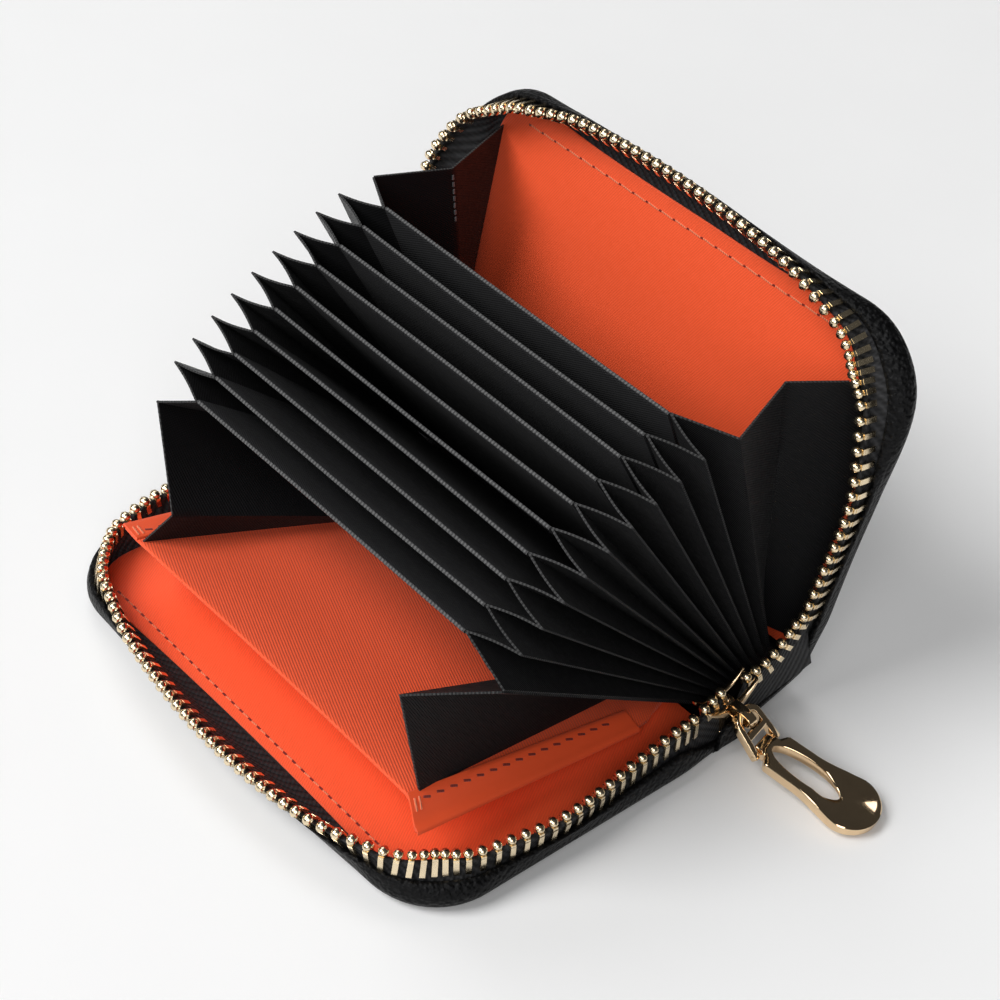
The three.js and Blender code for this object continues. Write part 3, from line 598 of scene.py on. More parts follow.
def settle(piece: bpy.types.Object, body: str, slot: str, *nodes: str) -> bpy.types.Object:
    """Fixes a finished piece to its body.

    Args:
        piece: The piece.
        body: The body that carries it.
        slot: Its material slot in the record; not used.
        nodes: The solids that it stands for.

    Returns:
        The piece.
    """
    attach(piece, body)
    if nodes:
        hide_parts(*nodes)
    LOG.info("%s rides on %s", piece.name, body)
    return piece


def metres(point: Vector) -> tuple[float, float, float]:
    """Returns a point of the millimetre frame in metres."""
    return tuple(coordinate * MM for coordinate in point)


def joint_entry(joint: str) -> dict:
    """Returns a joint's entry in the record."""
    return next(entry for entry in frame["record"]["behaviour"]["joints"] if entry["name"] == joint)


def fold_place(joint: str) -> Vector:
    """Returns the place of a joint's axis at rest, in millimetres."""
    return Vector(joint_entry(joint)["pos_m"]) / MM


@dataclass(frozen=True)
class Leaf:
    """A flat sheet that stands on a fold line along Y."""

    place: Vector
    angle: float

    def at(self, up: float, y: float, off: float = 0.0) -> Vector:
        """Returns the point at a height along the leaf, off it on its front side."""
        return self.place + toward(self.angle) * up + toward(self.angle + 90) * off + Vector((0, y, 0))

    def across(self, way: Vector) -> Vector:
        """Returns a way without its part along the leaf's height."""
        along = toward(self.angle)
        return way - along * way.dot(along)


@dataclass(frozen=True)
class Station:
    """One place along a cover's wall, seen in plan."""

    x: float
    y: float
    out_x: float
    out_y: float
    bow: float
    swell: float
    rise: float
    on_long: float
    rim: float
    along: float


REAR_BOWS = (-1.8, 0.8, 2.0, -1.2, -5.0, 4.0, 7.4, 5.8, -1.4, 10.7, 5.0, 0.0)
REAR_SWELLS = (-2.0, -0.5, 1.1, 2.5, 0.9, -0.5, 0.0, 0.0, 0.0, 0.0, 0.0, 0.0)


@dataclass
class CoverWall:
    """The wall line of a cover, from the near end of its fold round to the far end.

    The bows say how far the zip stands out of the wall at places along it, and the swells how far the
    leather does. The rises say how far the zip is lifted near the slider. The zip hangs free of the wall
    from one height on, and fully so a given height above it.
    """

    half_width: float = 40.5
    half_length: float = 60.5
    waist: float = 2.0
    corner: float = 15.5
    rim_rise: float = 16.0
    rim_at_fold: float = 0.4
    teeth_top: float = 11.3
    hang_from: float = 4.0
    hang_over: float = 4.5
    bend_power: float = 1.5
    places: tuple[float, ...] = (0, 28, 46, 62, 78, 105, 133, 162, 190, 216, 243, 270)
    bows: tuple[float, ...] = (-1.0, -0.3, 1.4, -0.8, -3.9, 7.4, 10.6, 6.7, -2.1, 3.7, 3.0, 0.0)
    swells: tuple[float, ...] = (0.0,) * 12
    rise_places: tuple[float, ...] = (0, 10, 16, 22, 34)
    rises: tuple[float, ...] = (1.4, 1.7, 2.2, 1.3, 0.0)
    trace: list[tuple[float, float, float, float]] = field(init=False)
    lengths: list[float] = field(init=False)

    def __post_init__(self) -> None:
        """Traces the line and adds up its length."""
        half = self.near_half()
        mirrored = [(x, -y, out_x, -out_y) for x, y, out_x, out_y in reversed(half)]
        self.trace = half + mirrored[1:]
        pairs = zip(self.trace, self.trace[1:])
        self.lengths = [0.0, *accumulate(hypot(b[0] - a[0], b[1] - a[1]) for a, b in pairs)]

    def near_half(self) -> list[tuple[float, float, float, float]]:
        """Returns points and outward directions from the fold's near end to the middle of the long side."""
        width, length = self.half_width, self.half_length
        turn = width - self.rim_rise
        third = self.rim_rise / 3
        controls = [(width, self.waist - length), (width - third, self.waist - length),
                    (turn + third, -length), (turn, -length)]
        line = bezier(controls, 24)
        radius = self.corner
        corner_x, corner_y = radius - width, radius - length
        line += [(x, -length) for x in steps(turn, corner_x, 40)[:-1]]
        for angle in steps(270, 180, 30)[:-1]:
            line.append((corner_x + radius * cos(radians(angle)), corner_y + radius * sin(radians(angle))))
        line += [(-width, y) for y in steps(corner_y, 0, 40)]
        points = []
        for index, (x, y) in enumerate(line):
            before, after = line[max(0, index - 1)], line[min(len(line) - 1, index + 1)]
            run = Vector((after[0] - before[0], after[1] - before[1])).normalized()
            points.append((x, y, -run.y, run.x))
        points[-1] = (-width, 0.0, -1.0, 0.0)
        return points

    @property
    def length(self) -> float:
        """Returns the length of the wall line."""
        return self.lengths[-1]

    def station(self, along: float) -> Station:
        """Returns the station at a distance along the wall line."""
        index = min(len(self.trace) - 2, max(0, bisect_right(self.lengths, along) - 1))
        share = (along - self.lengths[index]) / (self.lengths[index + 1] - self.lengths[index])
        x, y, out_x, out_y = (lerp(a, b, share) for a, b in zip(self.trace[index], self.trace[index + 1]))
        size = hypot(out_x, out_y)
        out_x, out_y = out_x / size, out_y / size
        on_long = max(0.0, -out_x)
        bow = through(self.places, self.bows, along)
        swell = through(self.places, self.swells, along)
        rise = through(self.rise_places, self.rises, along)
        rim = lerp(self.rim_at_fold, 1.0, ease((self.half_width - x) / self.rim_rise))
        return Station(x, y, out_x, out_y, bow, swell, rise, on_long, rim, along)

    def on(self, station: Station, inset: float, z: float) -> Vector:
        """Returns the point at a height on the wall, moved in from its face, in the cover's own frame."""
        hung = ease((z - self.hang_from) / self.hang_over)
        bent = (max(0.0, z) / self.teeth_top) ** self.bend_power
        lean = station.bow * lerp(hung, bent, station.on_long) + station.swell * (1 - hung) - inset
        x, y = station.x + station.out_x * lean, station.y + station.out_y * lean
        return Vector((x, y, z + station.rise * hung))


class CoverPlace:
    """Where a cover lies at rest: its own X runs to the fold, its own Z away from its outer face."""

    def __init__(self, name: CoverName, hinge_height: float = 2.0) -> None:
        """Reads the cover's fold from the frame."""
        self.hinge_height = hinge_height
        self.body = f"{name.value}_cover"
        if name is CoverName.FRONT:
            self.wall = CoverWall()
            self.fold = fold_place("spine_fold")
            self.reach, self.up = toward(180), toward(90)
        else:
            self.wall = CoverWall(bows=REAR_BOWS, swells=REAR_SWELLS, rises=(0.0,) * 5)
            self.fold = fold_place("rear_fold")
            self.reach, self.up = toward(REAR_ANGLE), toward(REAR_ANGLE + 90)

    def world(self, local: Vector) -> Vector:
        """Returns a point of the cover in the shared frame."""
        in_from_fold = self.wall.half_width - local.x
        flat = self.fold + self.reach * in_from_fold + self.up * (local.z - self.hinge_height)
        return Vector((flat.x, local.y, flat.z))

    def on(self, station: Station, inset: float, z: float) -> Vector:
        """Returns a point on the cover's wall in the shared frame."""
        return self.world(self.wall.on(station, inset, z))


@dataclass(frozen=True)
class StitchRow:
    """A straight row of stitches: how far in it lies, its pitch, and how much shows of thread and of the dark
    block between stitches, which paints the shade in the stitch holes.
    """

    inset: float
    pitch: float
    thread: float
    hole_shade: float
    thread_section: Pair = (0.34, 0.28)
    hole_shade_section: Pair = (0.45, 0.1)
    rounding: float = 0.12
    slant: float = 4


@dataclass
class Cover:
    """A cover: leather shell, board, lining and the lining's row of stitches.

    The lining's edge follows a share of the zip's bow along the free side.
    """

    name: CoverName
    finishes: Finishes
    follow: float
    row: StitchRow
    leather: float = 1.3
    edge_round: float = 4.0
    rim_height: float = 6.5
    core_half: float = 54.4
    lining_inset: float = 3.4
    lining_z: Pair = (2.6, 3.1)
    lining_end: float = 37.7

    def __post_init__(self) -> None:
        """Places the cover."""
        self.place = CoverPlace(self.name)
        self.wall = self.place.wall

    def build(self) -> None:
        """Makes and dresses the cover's pieces."""
        self.shell()
        self.lining()
        self.stitches()
        board = frame["nodes"][f"{self.name.value}_cover_board"]
        board.material_slots[0].material = self.finishes.board

    def shell_section(self) -> list[Pair]:
        """Returns the wall section from the outer floor over the rim to the inner floor: inset and height."""
        outer = [(self.edge_round * (1 - cos(radians(a))), self.edge_round * (1 - sin(radians(a))))
                 for a in (90, 75, 60, 45, 30, 15, 0)]
        top, thick = self.rim_height, self.leather
        rim = [(0.0, top - 1.2), (0.0, top - 0.5), (0.12, top - 0.16), (0.4, top), (thick - 0.4, top),
               (thick - 0.12, top - 0.16), (thick, top - 0.5), (thick, top - 2.0)]
        return [*outer, *rim, (thick, 3.6), (2.0, 2.2), (self.edge_round, thick)]

    def shell(self) -> None:
        """Makes the leather shell."""
        work = Workpiece(f"{self.name.value}_leather_shell")
        stations = [self.wall.station(a) for a in steps(0, self.wall.length, 150)]
        section = self.shell_section()
        floor_shares = (0.0, 0.3, 0.62, 0.88)
        floors = len(floor_shares)
        total = 2 * floors + len(section)

        def place(index: float, spot: float) -> Vector:
            station = stations[int(index)]
            spot = int(spot) % total
            if floors <= spot < floors + len(section):
                inset, z = section[spot - floors]
                if inset < self.edge_round - 0.01:
                    z = max(z * station.rim, self.leather * 0.4 * (inset > 1))
                return self.place.on(station, inset, z)
            outer = spot < floors
            share = floor_shares[spot] if outer else floor_shares[total - 1 - spot]
            z = 0.0 if outer else self.leather
            core_y = lerp(-self.core_half, self.core_half, station.along / self.wall.length)
            core = Vector((self.wall.half_width, core_y, z))
            foot = self.wall.on(station, self.edge_round, 0.0)
            foot.z = z
            return self.place.world(core.lerp(foot, share))

        work.surface(range(len(stations)), range(total + 1), place)
        piece = work.done(self.finishes.leather, LEATHER_CREASE)
        settle(piece, self.place.body, "leather", f"{self.name.value}_cover_leather")

    def lining(self) -> None:
        """Makes the lining as a sheet with a turned edge."""
        work = Workpiece(f"{self.name.value}_lining_cloth")
        start = next(a for a in steps(0, 12, 240) if self.wall.station(a).x < self.lining_end)
        stations = [self.wall.station(a) for a in steps(start, self.wall.length - start, 120)]
        low, high = self.lining_z
        middle = (low + high) / 2
        edge = [(0.25, low), (0.04, low + 0.1), (0.0, middle), (0.04, high - 0.1), (0.25, high)]
        floor_shares = (0.0, 0.35, 0.7)
        floors = len(floor_shares)
        total = 2 * floors + len(edge)
        core_half = abs(stations[0].y) - self.lining_inset

        def inset_at(station: Station) -> float:
            bow = self.follow * max(0.0, station.bow) * station.on_long
            return self.lining_inset + max(0.0, station.swell) + bow

        def local(index: float, spot: float) -> Vector:
            station = stations[int(index)]
            spot = int(spot) % total
            if floors <= spot < floors + len(edge):
                inset, z = edge[spot - floors]
                point = self.wall.on(station, inset_at(station) + inset, 0.0)
                return Vector((min(point.x, self.lining_end), point.y, z))
            lower = spot < floors
            share = floor_shares[spot] if lower else floor_shares[total - 1 - spot]
            z = low if lower else high
            core = Vector((self.lining_end, lerp(-core_half, core_half, index / (len(stations) - 1)), z))
            foot = self.wall.on(station, inset_at(station) + 0.25, 0.0)
            foot.z = z
            return core.lerp(foot, share)

        def measure(index: float, spot: float) -> Pair:
            point = local(index, spot)
            return point.x, point.y

        work.surface(range(len(stations)), range(total + 1),
                     lambda index, spot: self.place.world(local(index, spot)), measure)
        piece = work.done(self.finishes.lining, CLOTH_CREASE)
        settle(piece, self.place.body, "lining", f"{self.name.value}_cover_lining")

    def stitches(self) -> None:
        """Makes the row of stitches along the free edge of the lining, and dark blocks between them that
        paint the shade in the stitch holes.
        """
        row, top = self.row, self.lining_z[1]
        x = row.inset - self.wall.half_width
        reach = self.wall.half_length - self.wall.corner + 1.0
        ys = steps(-reach, reach, round(2 * reach / row.pitch))
        turn = Matrix.Rotation(radians(row.slant), 4, "Z")

        def spot(y: float, z: float) -> Matrix:
            middle = self.place.world(Vector((x, y, z)))
            return frame_of(middle, Vector((0, 1, 0)), self.place.reach, self.place.up)

        threads = blocks(f"{self.name.value}_lining_stitches", (row.thread, *row.thread_section),
                         [spot(y, top + 0.02) @ turn for y in ys], row.rounding, self.finishes.orange_thread)
        # Dark blocks between the stitches: painted shade in the stitch holes.
        hole_shades = blocks(f"{self.name.value}_stitch_holes", (row.hole_shade, *row.hole_shade_section),
                       [spot(y + row.pitch / 2, top) for y in ys], 0.0, self.finishes.shaded_thread)
        for piece in (threads, hole_shades):
            settle(piece, self.place.body, "lining")


@dataclass(frozen=True)
class Tooth:
    """A zip tooth: two flat legs clamped on the cord, a shoulder, and a rounded nub hollow on one side."""

    legs: Pair
    width: float = 1.1
    leg_off: float = 0.95
    leg_top: float = 0.75
    leg_thickness: float = 0.42
    shoulder: Pair = (2.25, 0.6)
    shoulder_z: float = 0.95
    nub_shape: tuple[float, float, float] = (1.0, 1.22, 0.92)
    nub_z: float = 1.95
    hollow: float = 0.25

    def add(self, work: Workpiece, place: Matrix, lean: float = 0.0) -> None:
        """Adds one such tooth to its row.

        Args:
            work: The mesh of the row.
            place: The tooth's frame, with the cord's middle at the origin and Y out of the case.
            lean: How far its legs turn about X to lie on the tape, in radians.
        """
        swing = Matrix.Rotation(lean, 4, "X")
        for side, length in zip((-1, 1), self.legs):
            leg = Matrix.Translation((0, side * self.leg_off, self.leg_top - length / 2))
            work.block((self.width, self.leg_thickness, length), place @ swing @ leg)
        work.block((self.width, *self.shoulder), place @ Matrix.Translation((0, 0, self.shoulder_z)))
        nub = Matrix.Translation((0, 0, self.nub_z)) @ Matrix.Diagonal((*self.nub_shape, 1.0))
        nub = nub @ Matrix.Rotation(radians(-90), 4, "Y")
        made = bmesh.ops.create_uvsphere(work.bm, u_segments=10, v_segments=6, radius=1.0)["verts"]
        for vert in made:
            if vert.co.z > 0.99:
                vert.co.z = self.hollow
        bmesh.ops.transform(work.bm, matrix=place @ nub, verts=made)


@dataclass
class ZipSide:
    """One side of the zip: tape with a corded edge and its row of teeth."""

    name: CoverName
    finishes: Finishes
    row_end: float
    shift: float
    pitch: float = 3.0
    tape_inset: float = 2.15
    tape: float = 0.6
    tape_z: Pair = (2.34, 8.3)
    foot: float = 3.3
    cord: float = 0.62
    cord_z: float = 8.75
    tooth: Tooth = Tooth(legs=(1.9, 3.1))
    grip: float = 1.45

    def __post_init__(self) -> None:
        """Places the side on its cover."""
        self.place = CoverPlace(self.name)
        self.wall = self.place.wall

    def build(self) -> None:
        """Makes the tape and the teeth."""
        self.ribbon()
        self.teeth()

    def section(self) -> list[Pair]:
        """Returns the tape's section: offset from its middle and height."""
        half = self.tape / 2
        low, high = self.tape_z
        cord = [(self.cord * sin(radians(a)), self.cord_z - self.cord * cos(radians(a)))
                for a in (45, 85, 130, 180, 230, 275, 315)]
        rise = steps(low + 2.0, high - 0.3, 7)
        outer = [(-self.foot, low), (-0.5, low), (half, low + 0.9), *[(half, z) for z in rise]]
        inner = [*[(-half, z) for z in reversed(rise)], (-half - 0.1, low + 1.5), (-half - 0.5, low + 0.9),
                 (-1.7, low + 0.5), (-self.foot, low + 0.42)]
        return [*outer, *cord, *inner]

    def ribbon(self) -> None:
        """Makes the tape."""
        work = Workpiece(f"{self.name.value}_tape_ribbon")
        ends = min(self.row_end - 4.0, 6.0)
        stations = [self.wall.station(a) for a in steps(ends, self.wall.length - ends, 140)]

        def place(station: Station, offset: float, z: float) -> Vector:
            return self.place.on(station, self.tape_inset - offset, z)

        def measure(station: Station, offset: float, z: float) -> Pair:
            return station.along, z + min(0.0, offset + self.tape / 2)

        work.sweep(stations, self.section(), place, measure)
        piece = work.done(self.finishes.tape, CLOTH_CREASE)
        settle(piece, self.place.body, "zip_tape", f"{self.name.value}_zip_tape")

    def tooth_frame(self, along: float) -> Matrix:
        """Returns the frame of a tooth: X along the row, Y out of the case, Z up."""
        station = self.wall.station(along)
        foot = self.place.on(station, self.tape_inset, self.cord_z)
        head = self.place.on(station, self.tape_inset, self.wall.teeth_top)
        ahead = self.place.on(self.wall.station(along + 0.1), self.tape_inset, self.cord_z)
        up = (head - foot).normalized()
        run = (ahead - foot).normalized()
        run = (run - up * run.dot(up)).normalized()
        out = up.cross(run).normalized()
        outside = self.place.on(station, self.tape_inset - 1.0, self.cord_z) - foot
        if out.dot(outside) < 0:
            out = -out
        return frame_of(foot, run, out, up)

    def leg_lean(self, along: float, place: Matrix) -> float:
        """Returns how far a tooth's legs turn in, in radians, to lie on a tape that leans out of the case."""
        station = self.wall.station(along)
        low = place.inverted() @ self.place.on(station, self.tape_inset, self.cord_z - self.grip)
        return min(0.0, atan2(low.y, -low.z))

    def teeth(self) -> None:
        """Makes the row of teeth."""
        work = Workpiece(f"{self.name.value}_teeth_row")
        count = int((self.wall.length - 2 * self.row_end - 2 * self.pitch) // self.pitch)
        start = (self.wall.length - count * self.pitch) / 2 + self.shift * self.pitch
        for index in range(count):
            along = start + index * self.pitch
            place = self.tooth_frame(along)
            self.tooth.add(work, place, self.leg_lean(along, place))
        piece = work.done(self.finishes.teeth, TOOTH_CREASE)
        settle(piece, self.place.body, "zip_teeth", f"{self.name.value}_zip_teeth")


@dataclass
class Spine:
    """The spine: leather that bends at both folds, its lining, and the leather's turned-up ends."""

    finishes: Finishes
    width: float = 22.0
    angle: float = 13.0
    half_length: float = 53.0
    outer: float = -2.0
    inner: float = -0.7
    end_reach: tuple[float, float, float] = (58.5, 57.0, 56.6)
    swell: float = 0.7
    bend: float = 3.2
    swing: float = 0.8
    lining_up: float = 0.85
    lining_thickness: float = 0.5
    base_up: float = 1.5
    base_thickness: float = 0.3
    base_half: float = 52.0

    def __post_init__(self) -> None:
        """Reads the folds from the frame."""
        self.front = fold_place("spine_fold")
        self.rear = fold_place("rear_fold")

    def on(self, along: float, up: float, y: float) -> Vector:
        """Returns a point on the spine."""
        flat = self.front + toward(self.angle) * along + toward(self.angle + 90) * up
        return Vector((flat.x, y, flat.z))

    def bulge(self, along: float) -> float:
        """Returns how far the leather swells outwards at a place across the spine."""
        return -self.swell * sin(pi * min(1.0, max(0.0, along / self.width)))

    def build(self) -> None:
        """Makes the spine's pieces."""
        middle = self.width / 2
        first = self.strip("spine_leather_front", steps(0, middle, 24),
                           "front_cover", "spine", (0.0, self.bend))
        self.strip("spine_leather_rear", steps(middle, self.width, 24),
                   "spine", "rear_cover", (self.width - self.bend, self.width))
        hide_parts("spine_leather")
        for end in End:
            self.turned_end(end)
        self.lining()
        self.fan_base()
        frame["nodes"]["spine_board"].material_slots[0].material = self.finishes.board

    def strip(self, name: str, alongs: list[float], start: str, end: str,
              turn: Pair) -> bpy.types.Object:
        """Makes one half of the spine's leather, which bends at its fold.

        Args:
            name: The piece's name.
            alongs: Places across the spine.
            start: The body before the fold.
            end: The body after it.
            turn: Where the bend starts and stops across the spine.

        Returns:
            The piece.
        """
        work = Workpiece(name)
        ys = steps(-self.half_length, self.half_length, 40)
        loop = [*[(y, self.outer) for y in ys], *[(y, self.inner) for y in reversed(ys)]]
        work.sweep(alongs, loop, lambda along, y, up: self.fold_in(along, up + self.bulge(along), y))
        piece = work.done(self.finishes.leather, LEATHER_CREASE)
        metres(self.on(turn[0], 0, 0))
        metres(self.on(turn[1], 0, 0))
        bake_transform(piece)
        LOG.info("%s bends between %s and %s", name, start, end)
        return piece

    def fold_in(self, along: float, up: float, y: float) -> Vector:
        """Returns a point on the leather, swung towards the cover beyond the nearer fold."""
        point = self.on(along, up, y)
        if along < self.swing:
            flat = Vector((self.front.x, y, self.front.z + up))
            return flat.lerp(point, along / self.swing)
        if along > self.width - self.swing:
            flat = self.rear + toward(REAR_ANGLE + 90) * up
            flat.y = y
            return flat.lerp(point, (self.width - along) / self.swing)
        return point

    def turned_end(self, end: End) -> None:
        """Makes the leather's turned-up end."""
        work = Workpiece(f"spine_leather_end_{end.name.lower()}")
        inner_y = self.half_length - 0.4
        section = [(0.0, self.outer), (2.6, self.outer), (1.2, self.outer + 0.35), (0.3, self.outer + 1.2),
                   (0.0, self.outer + 2.4), (0.0, 0.6), (0.4, 1.0), (0.9, 1.0), (1.3, 0.6),
                   (1.5, self.inner + 0.5), (2.6, self.inner), (0.0, self.inner)]
        last = len(section) - 1

        def place(along: float, spot: float) -> Vector:
            index = int(spot) % len(section)
            inset, up = section[index]
            reach = through((0.0, 8.0, self.width), self.end_reach, along)
            y = inner_y if index in (0, last) else reach - inset
            return self.fold_in(along, up + self.bulge(along), end.value * y)

        work.surface(steps(0, self.width, 30), range(len(section) + 1), place)
        piece = settle(work.done(self.finishes.leather, LEATHER_CREASE), "spine", "leather")
        anchor = self.on(0, 0, end.value * self.half_length)
        metres(anchor)
        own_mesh(piece)

    def lining(self) -> None:
        """Makes the strip of lining under the dividers."""
        work = Workpiece("spine_lining_cloth")
        low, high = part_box("spine_lining")
        half = (high[1] - low[1]) / MM / 2
        start = (Vector(low) / MM).x
        finish = (Vector(high) / MM).x
        xs = steps(start + 0.4, finish - 0.4, 12)
        alongs = [(x - self.front.x) / cos(radians(self.angle)) for x in xs]
        work.surface(alongs, steps(-half, half, 30), lambda along, y: self.on(along, self.lining_up, y))
        work.thicken(self.lining_thickness)
        piece = settle(work.done(self.finishes.lining), "spine", "lining", "spine_lining")

    def fan_base(self) -> None:
        """Makes the strip of black cloth that the dividers are sewn to."""
        work = Workpiece("fan_base_cloth")
        alongs, half = steps(1.0, self.width - 1.0, 10), self.base_half
        work.surface(alongs, steps(-half, half, 30), lambda along, y: self.on(along, self.base_up, y))
        work.thicken(self.base_thickness)
        piece = settle(work.done(self.finishes.twill), "spine", "twill")


@dataclass(frozen=True)
class GussetFolds:
    """How a wide gusset is folded, at the top of the fan.

    Its peak and valley lie at shares of the way across. The valley and the far edge stand at places along Y
    and lean in towards the fold. The valley is lifted off the straight line, and the far edge runs up to a
    given height.
    """

    valley: float
    valley_y: float
    edge_y: float
    edge_run: float
    lift: float = 0.0
    lean: float = 0.0
    peak: float = 0.14
    peak_drop: float = 1.0


@dataclass
class CardFan:
    """The fan of card dividers with the pleats and wide gussets that join their ends.

    The marks are heights on the pleats and folds at which points are worked out that nothing else uses.
    """

    finishes: Finishes
    count: int = 10
    first_angle: float = 143.5
    last_angle: float = 112.5
    height: float = 76.0
    half_length: float = 41.0
    thickness: float = 0.8
    cloth: float = 0.4
    pleat_start: float = 3.0
    pleat_y: float = 41.25
    ridge_y: Pair = (51.3, 53.0)
    ridge_drop: float = 1.0
    pleat_mark: float = 55.0
    fold_mark: float = 70.0
    rear_inset: float = 2.8
    rear_height: float = 3.05
    stitch: tuple[float, float, float] = (1.2, 0.35, 0.45)

    def __post_init__(self) -> None:
        """Reads the divider folds from the frame."""
        self.leaves = []
        for index in range(self.count):
            angle = lerp(self.first_angle, self.last_angle, index / (self.count - 1))
            self.leaves.append(Leaf(fold_place(f"divider_fold_{index + 1:02d}"), angle))
        self.pocket = Leaf(fold_place("pocket_panel_fold"), PANEL_ANGLE)

    def build(self) -> None:
        """Makes the dividers, pleats and gussets."""
        for index in range(self.count):
            self.divider(index)
        for end in End:
            for index in range(self.count - 1):
                self.pleat(index, end)
        front = {
            End.NEAR: GussetFolds(valley=0.33, valley_y=41.5, edge_y=43.9, edge_run=68.0,
                                  lift=11.9, lean=0.085),
            End.FAR: GussetFolds(valley=0.75, valley_y=39.3, edge_y=42.9, edge_run=70.0,
                                 lift=-1.9, lean=0.2, peak=0.195)}
        rear = {
            End.NEAR: GussetFolds(valley=0.6, valley_y=45.5, edge_y=55.5, edge_run=66.2),
            End.FAR: GussetFolds(valley=0.5, valley_y=46.5, edge_y=55.5, edge_run=66.2)}
        for end, folds in front.items():
            self.wide_gusset("front", 0, self.front_edge, folds, end)
        for end, folds in rear.items():
            self.wide_gusset("rear", self.count - 1, self.rear_edge, folds, end)

    def divider(self, index: int) -> None:
        """Makes one divider with a rounded folded top edge."""
        label = f"divider_{index + 1:02d}"
        work = Workpiece(f"{label}_cloth")
        leaf = self.leaves[index]
        half = self.thickness / 2
        top = self.height - half

        def place(y: float, up: float, off: float) -> Vector:
            sag = 0.35 * cos(pi / 2 * y / self.half_length) * (up / self.height) ** 2
            return leaf.at(up - 0.5 * sag, y, off + sag * sin(index * 1.7))

        section = folded_section(steps(0.4, top, 10), top, half)
        work.sweep(steps(-self.half_length, self.half_length, 30), section, place,
                   lambda y, up, off: (y, self.height - up))
        piece = settle(work.done(self.finishes.divider_twill_painted_light, CLOTH_CREASE), label, "twill", label)

    def ridge(self, index: int, up: float, end: End) -> Vector:
        """Returns a point on the ridge of the pleat after a divider."""
        share = up / self.height
        middle = (self.leaves[index].at(up, 0) + self.leaves[index + 1].at(up, 0)) / 2
        middle.y = end.value * lerp(*self.ridge_y, share)
        return middle

    def pleat(self, index: int, end: End) -> None:
        """Makes the two walls of the pleat between two dividers, each carried by its own divider."""
        label = f"gusset_{end.name.lower()}_{index + 1:02d}"
        for wall, divider in enumerate((index, index + 1)):
            work = Workpiece(f"{label}_wall_{'ab'[wall]}")
            leaf = self.leaves[divider]
            start, top = self.pleat_start, self.height - 0.1

            def place(across: float, share: float) -> Vector:
                up = lerp(start, top - self.ridge_drop * across, share)
                foot = leaf.at(up, end.value * self.pleat_y)
                point = foot.lerp(self.ridge(index, up, end), across)
                bow = 0.35 * sin(pi * across) * share
                return point + toward(leaf.angle + 90) * (bow if wall else -bow)

            depth = self.ridge_y[1] - self.pleat_y + 0.6
            work.surface(steps(0, 1, 8), steps(0, 1, 14), place,
                         lambda across, share: (across * depth, (1 - share) * (top - start)))
            work.thicken(self.cloth)
            nodes = (label,) if wall == 0 else ()
            carrier = f"divider_{divider + 1:02d}"
            piece = settle(work.done(self.finishes.pleat_twill, CLOTH_CREASE), carrier, "twill", *nodes)
            foot = leaf.at(self.pleat_mark, end.value * self.pleat_y)
            out = self.ridge(index, self.pleat_mark, end) - foot
            leaf.across(out)
            metres(foot)
            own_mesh(piece)

    def front_edge(self, up: float) -> Vector:
        """Returns the point at a height on the back of the pocket panel, in the middle of the fan."""
        return self.pocket.at(up, 0, -0.3)

    def rear_edge(self, up: float) -> Vector:
        """Returns the point at a height on the rear lining, in the middle of the fan."""
        place = CoverPlace(CoverName.REAR)
        return place.world(Vector((place.wall.half_width - self.rear_inset - up, 0, self.rear_height)))

    def wide_gusset(self, label: str, divider: int, edge: Callable[[float], Vector], folds: GussetFolds,
                    end: End) -> None:
        """Makes a wide gusset between an outer divider and the cover's edge, as two pieces.

        The fold is carried by the divider. The side is carried at the front by the pocket panel and at the
        rear by the divider.

        Args:
            label: Which gusset it is.
            divider: The divider that it starts at.
            edge: Gives the line of the far edge at a height.
            folds: How it is folded.
            end: Which end it is at.
        """
        leaf = self.leaves[divider]
        node = f"gusset_{end.name.lower()}_{label}"
        start, top = 0.06 * self.height, self.height - 0.1
        shares = (0.0, folds.peak, folds.valley, 1.0)

        def knot(number: int, up: float) -> Vector:
            foot, far = leaf.at(up, 0), edge(up * folds.edge_run / self.height)
            inward = folds.lean * (self.height - up)
            ridge_y = lerp(*self.ridge_y, up / self.height)
            ys = self.pleat_y, ridge_y, folds.valley_y - inward, folds.edge_y - inward
            point = foot.lerp(far, shares[number])
            if number == 2:
                away = Vector((far.z - foot.z, 0, foot.x - far.x)).normalized()
                point += away * folds.lift * up / self.height
            point.y = end.value * ys[number]
            return point

        body = f"divider_{divider + 1:02d}"
        holder, flat = ("pocket_panel", self.pocket) if label == "front" else (body, leaf)
        spread_way = toward(flat.angle + 90), metres(flat.place)
        for part, numbers in (("fold", (0, 1)), ("side", (1, 2, 3))):
            work = Workpiece(f"{node}_{part}")
            walls = len(numbers) - 1

            def place(across: float, share: float) -> Vector:
                wall = min(walls - 1, int(across))
                near_peak = across if part == "fold" else max(0.0, 1 - across)
                up = lerp(start, top - folds.peak_drop * near_peak, share)
                return knot(numbers[wall], up).lerp(knot(numbers[wall + 1], up), across - wall)

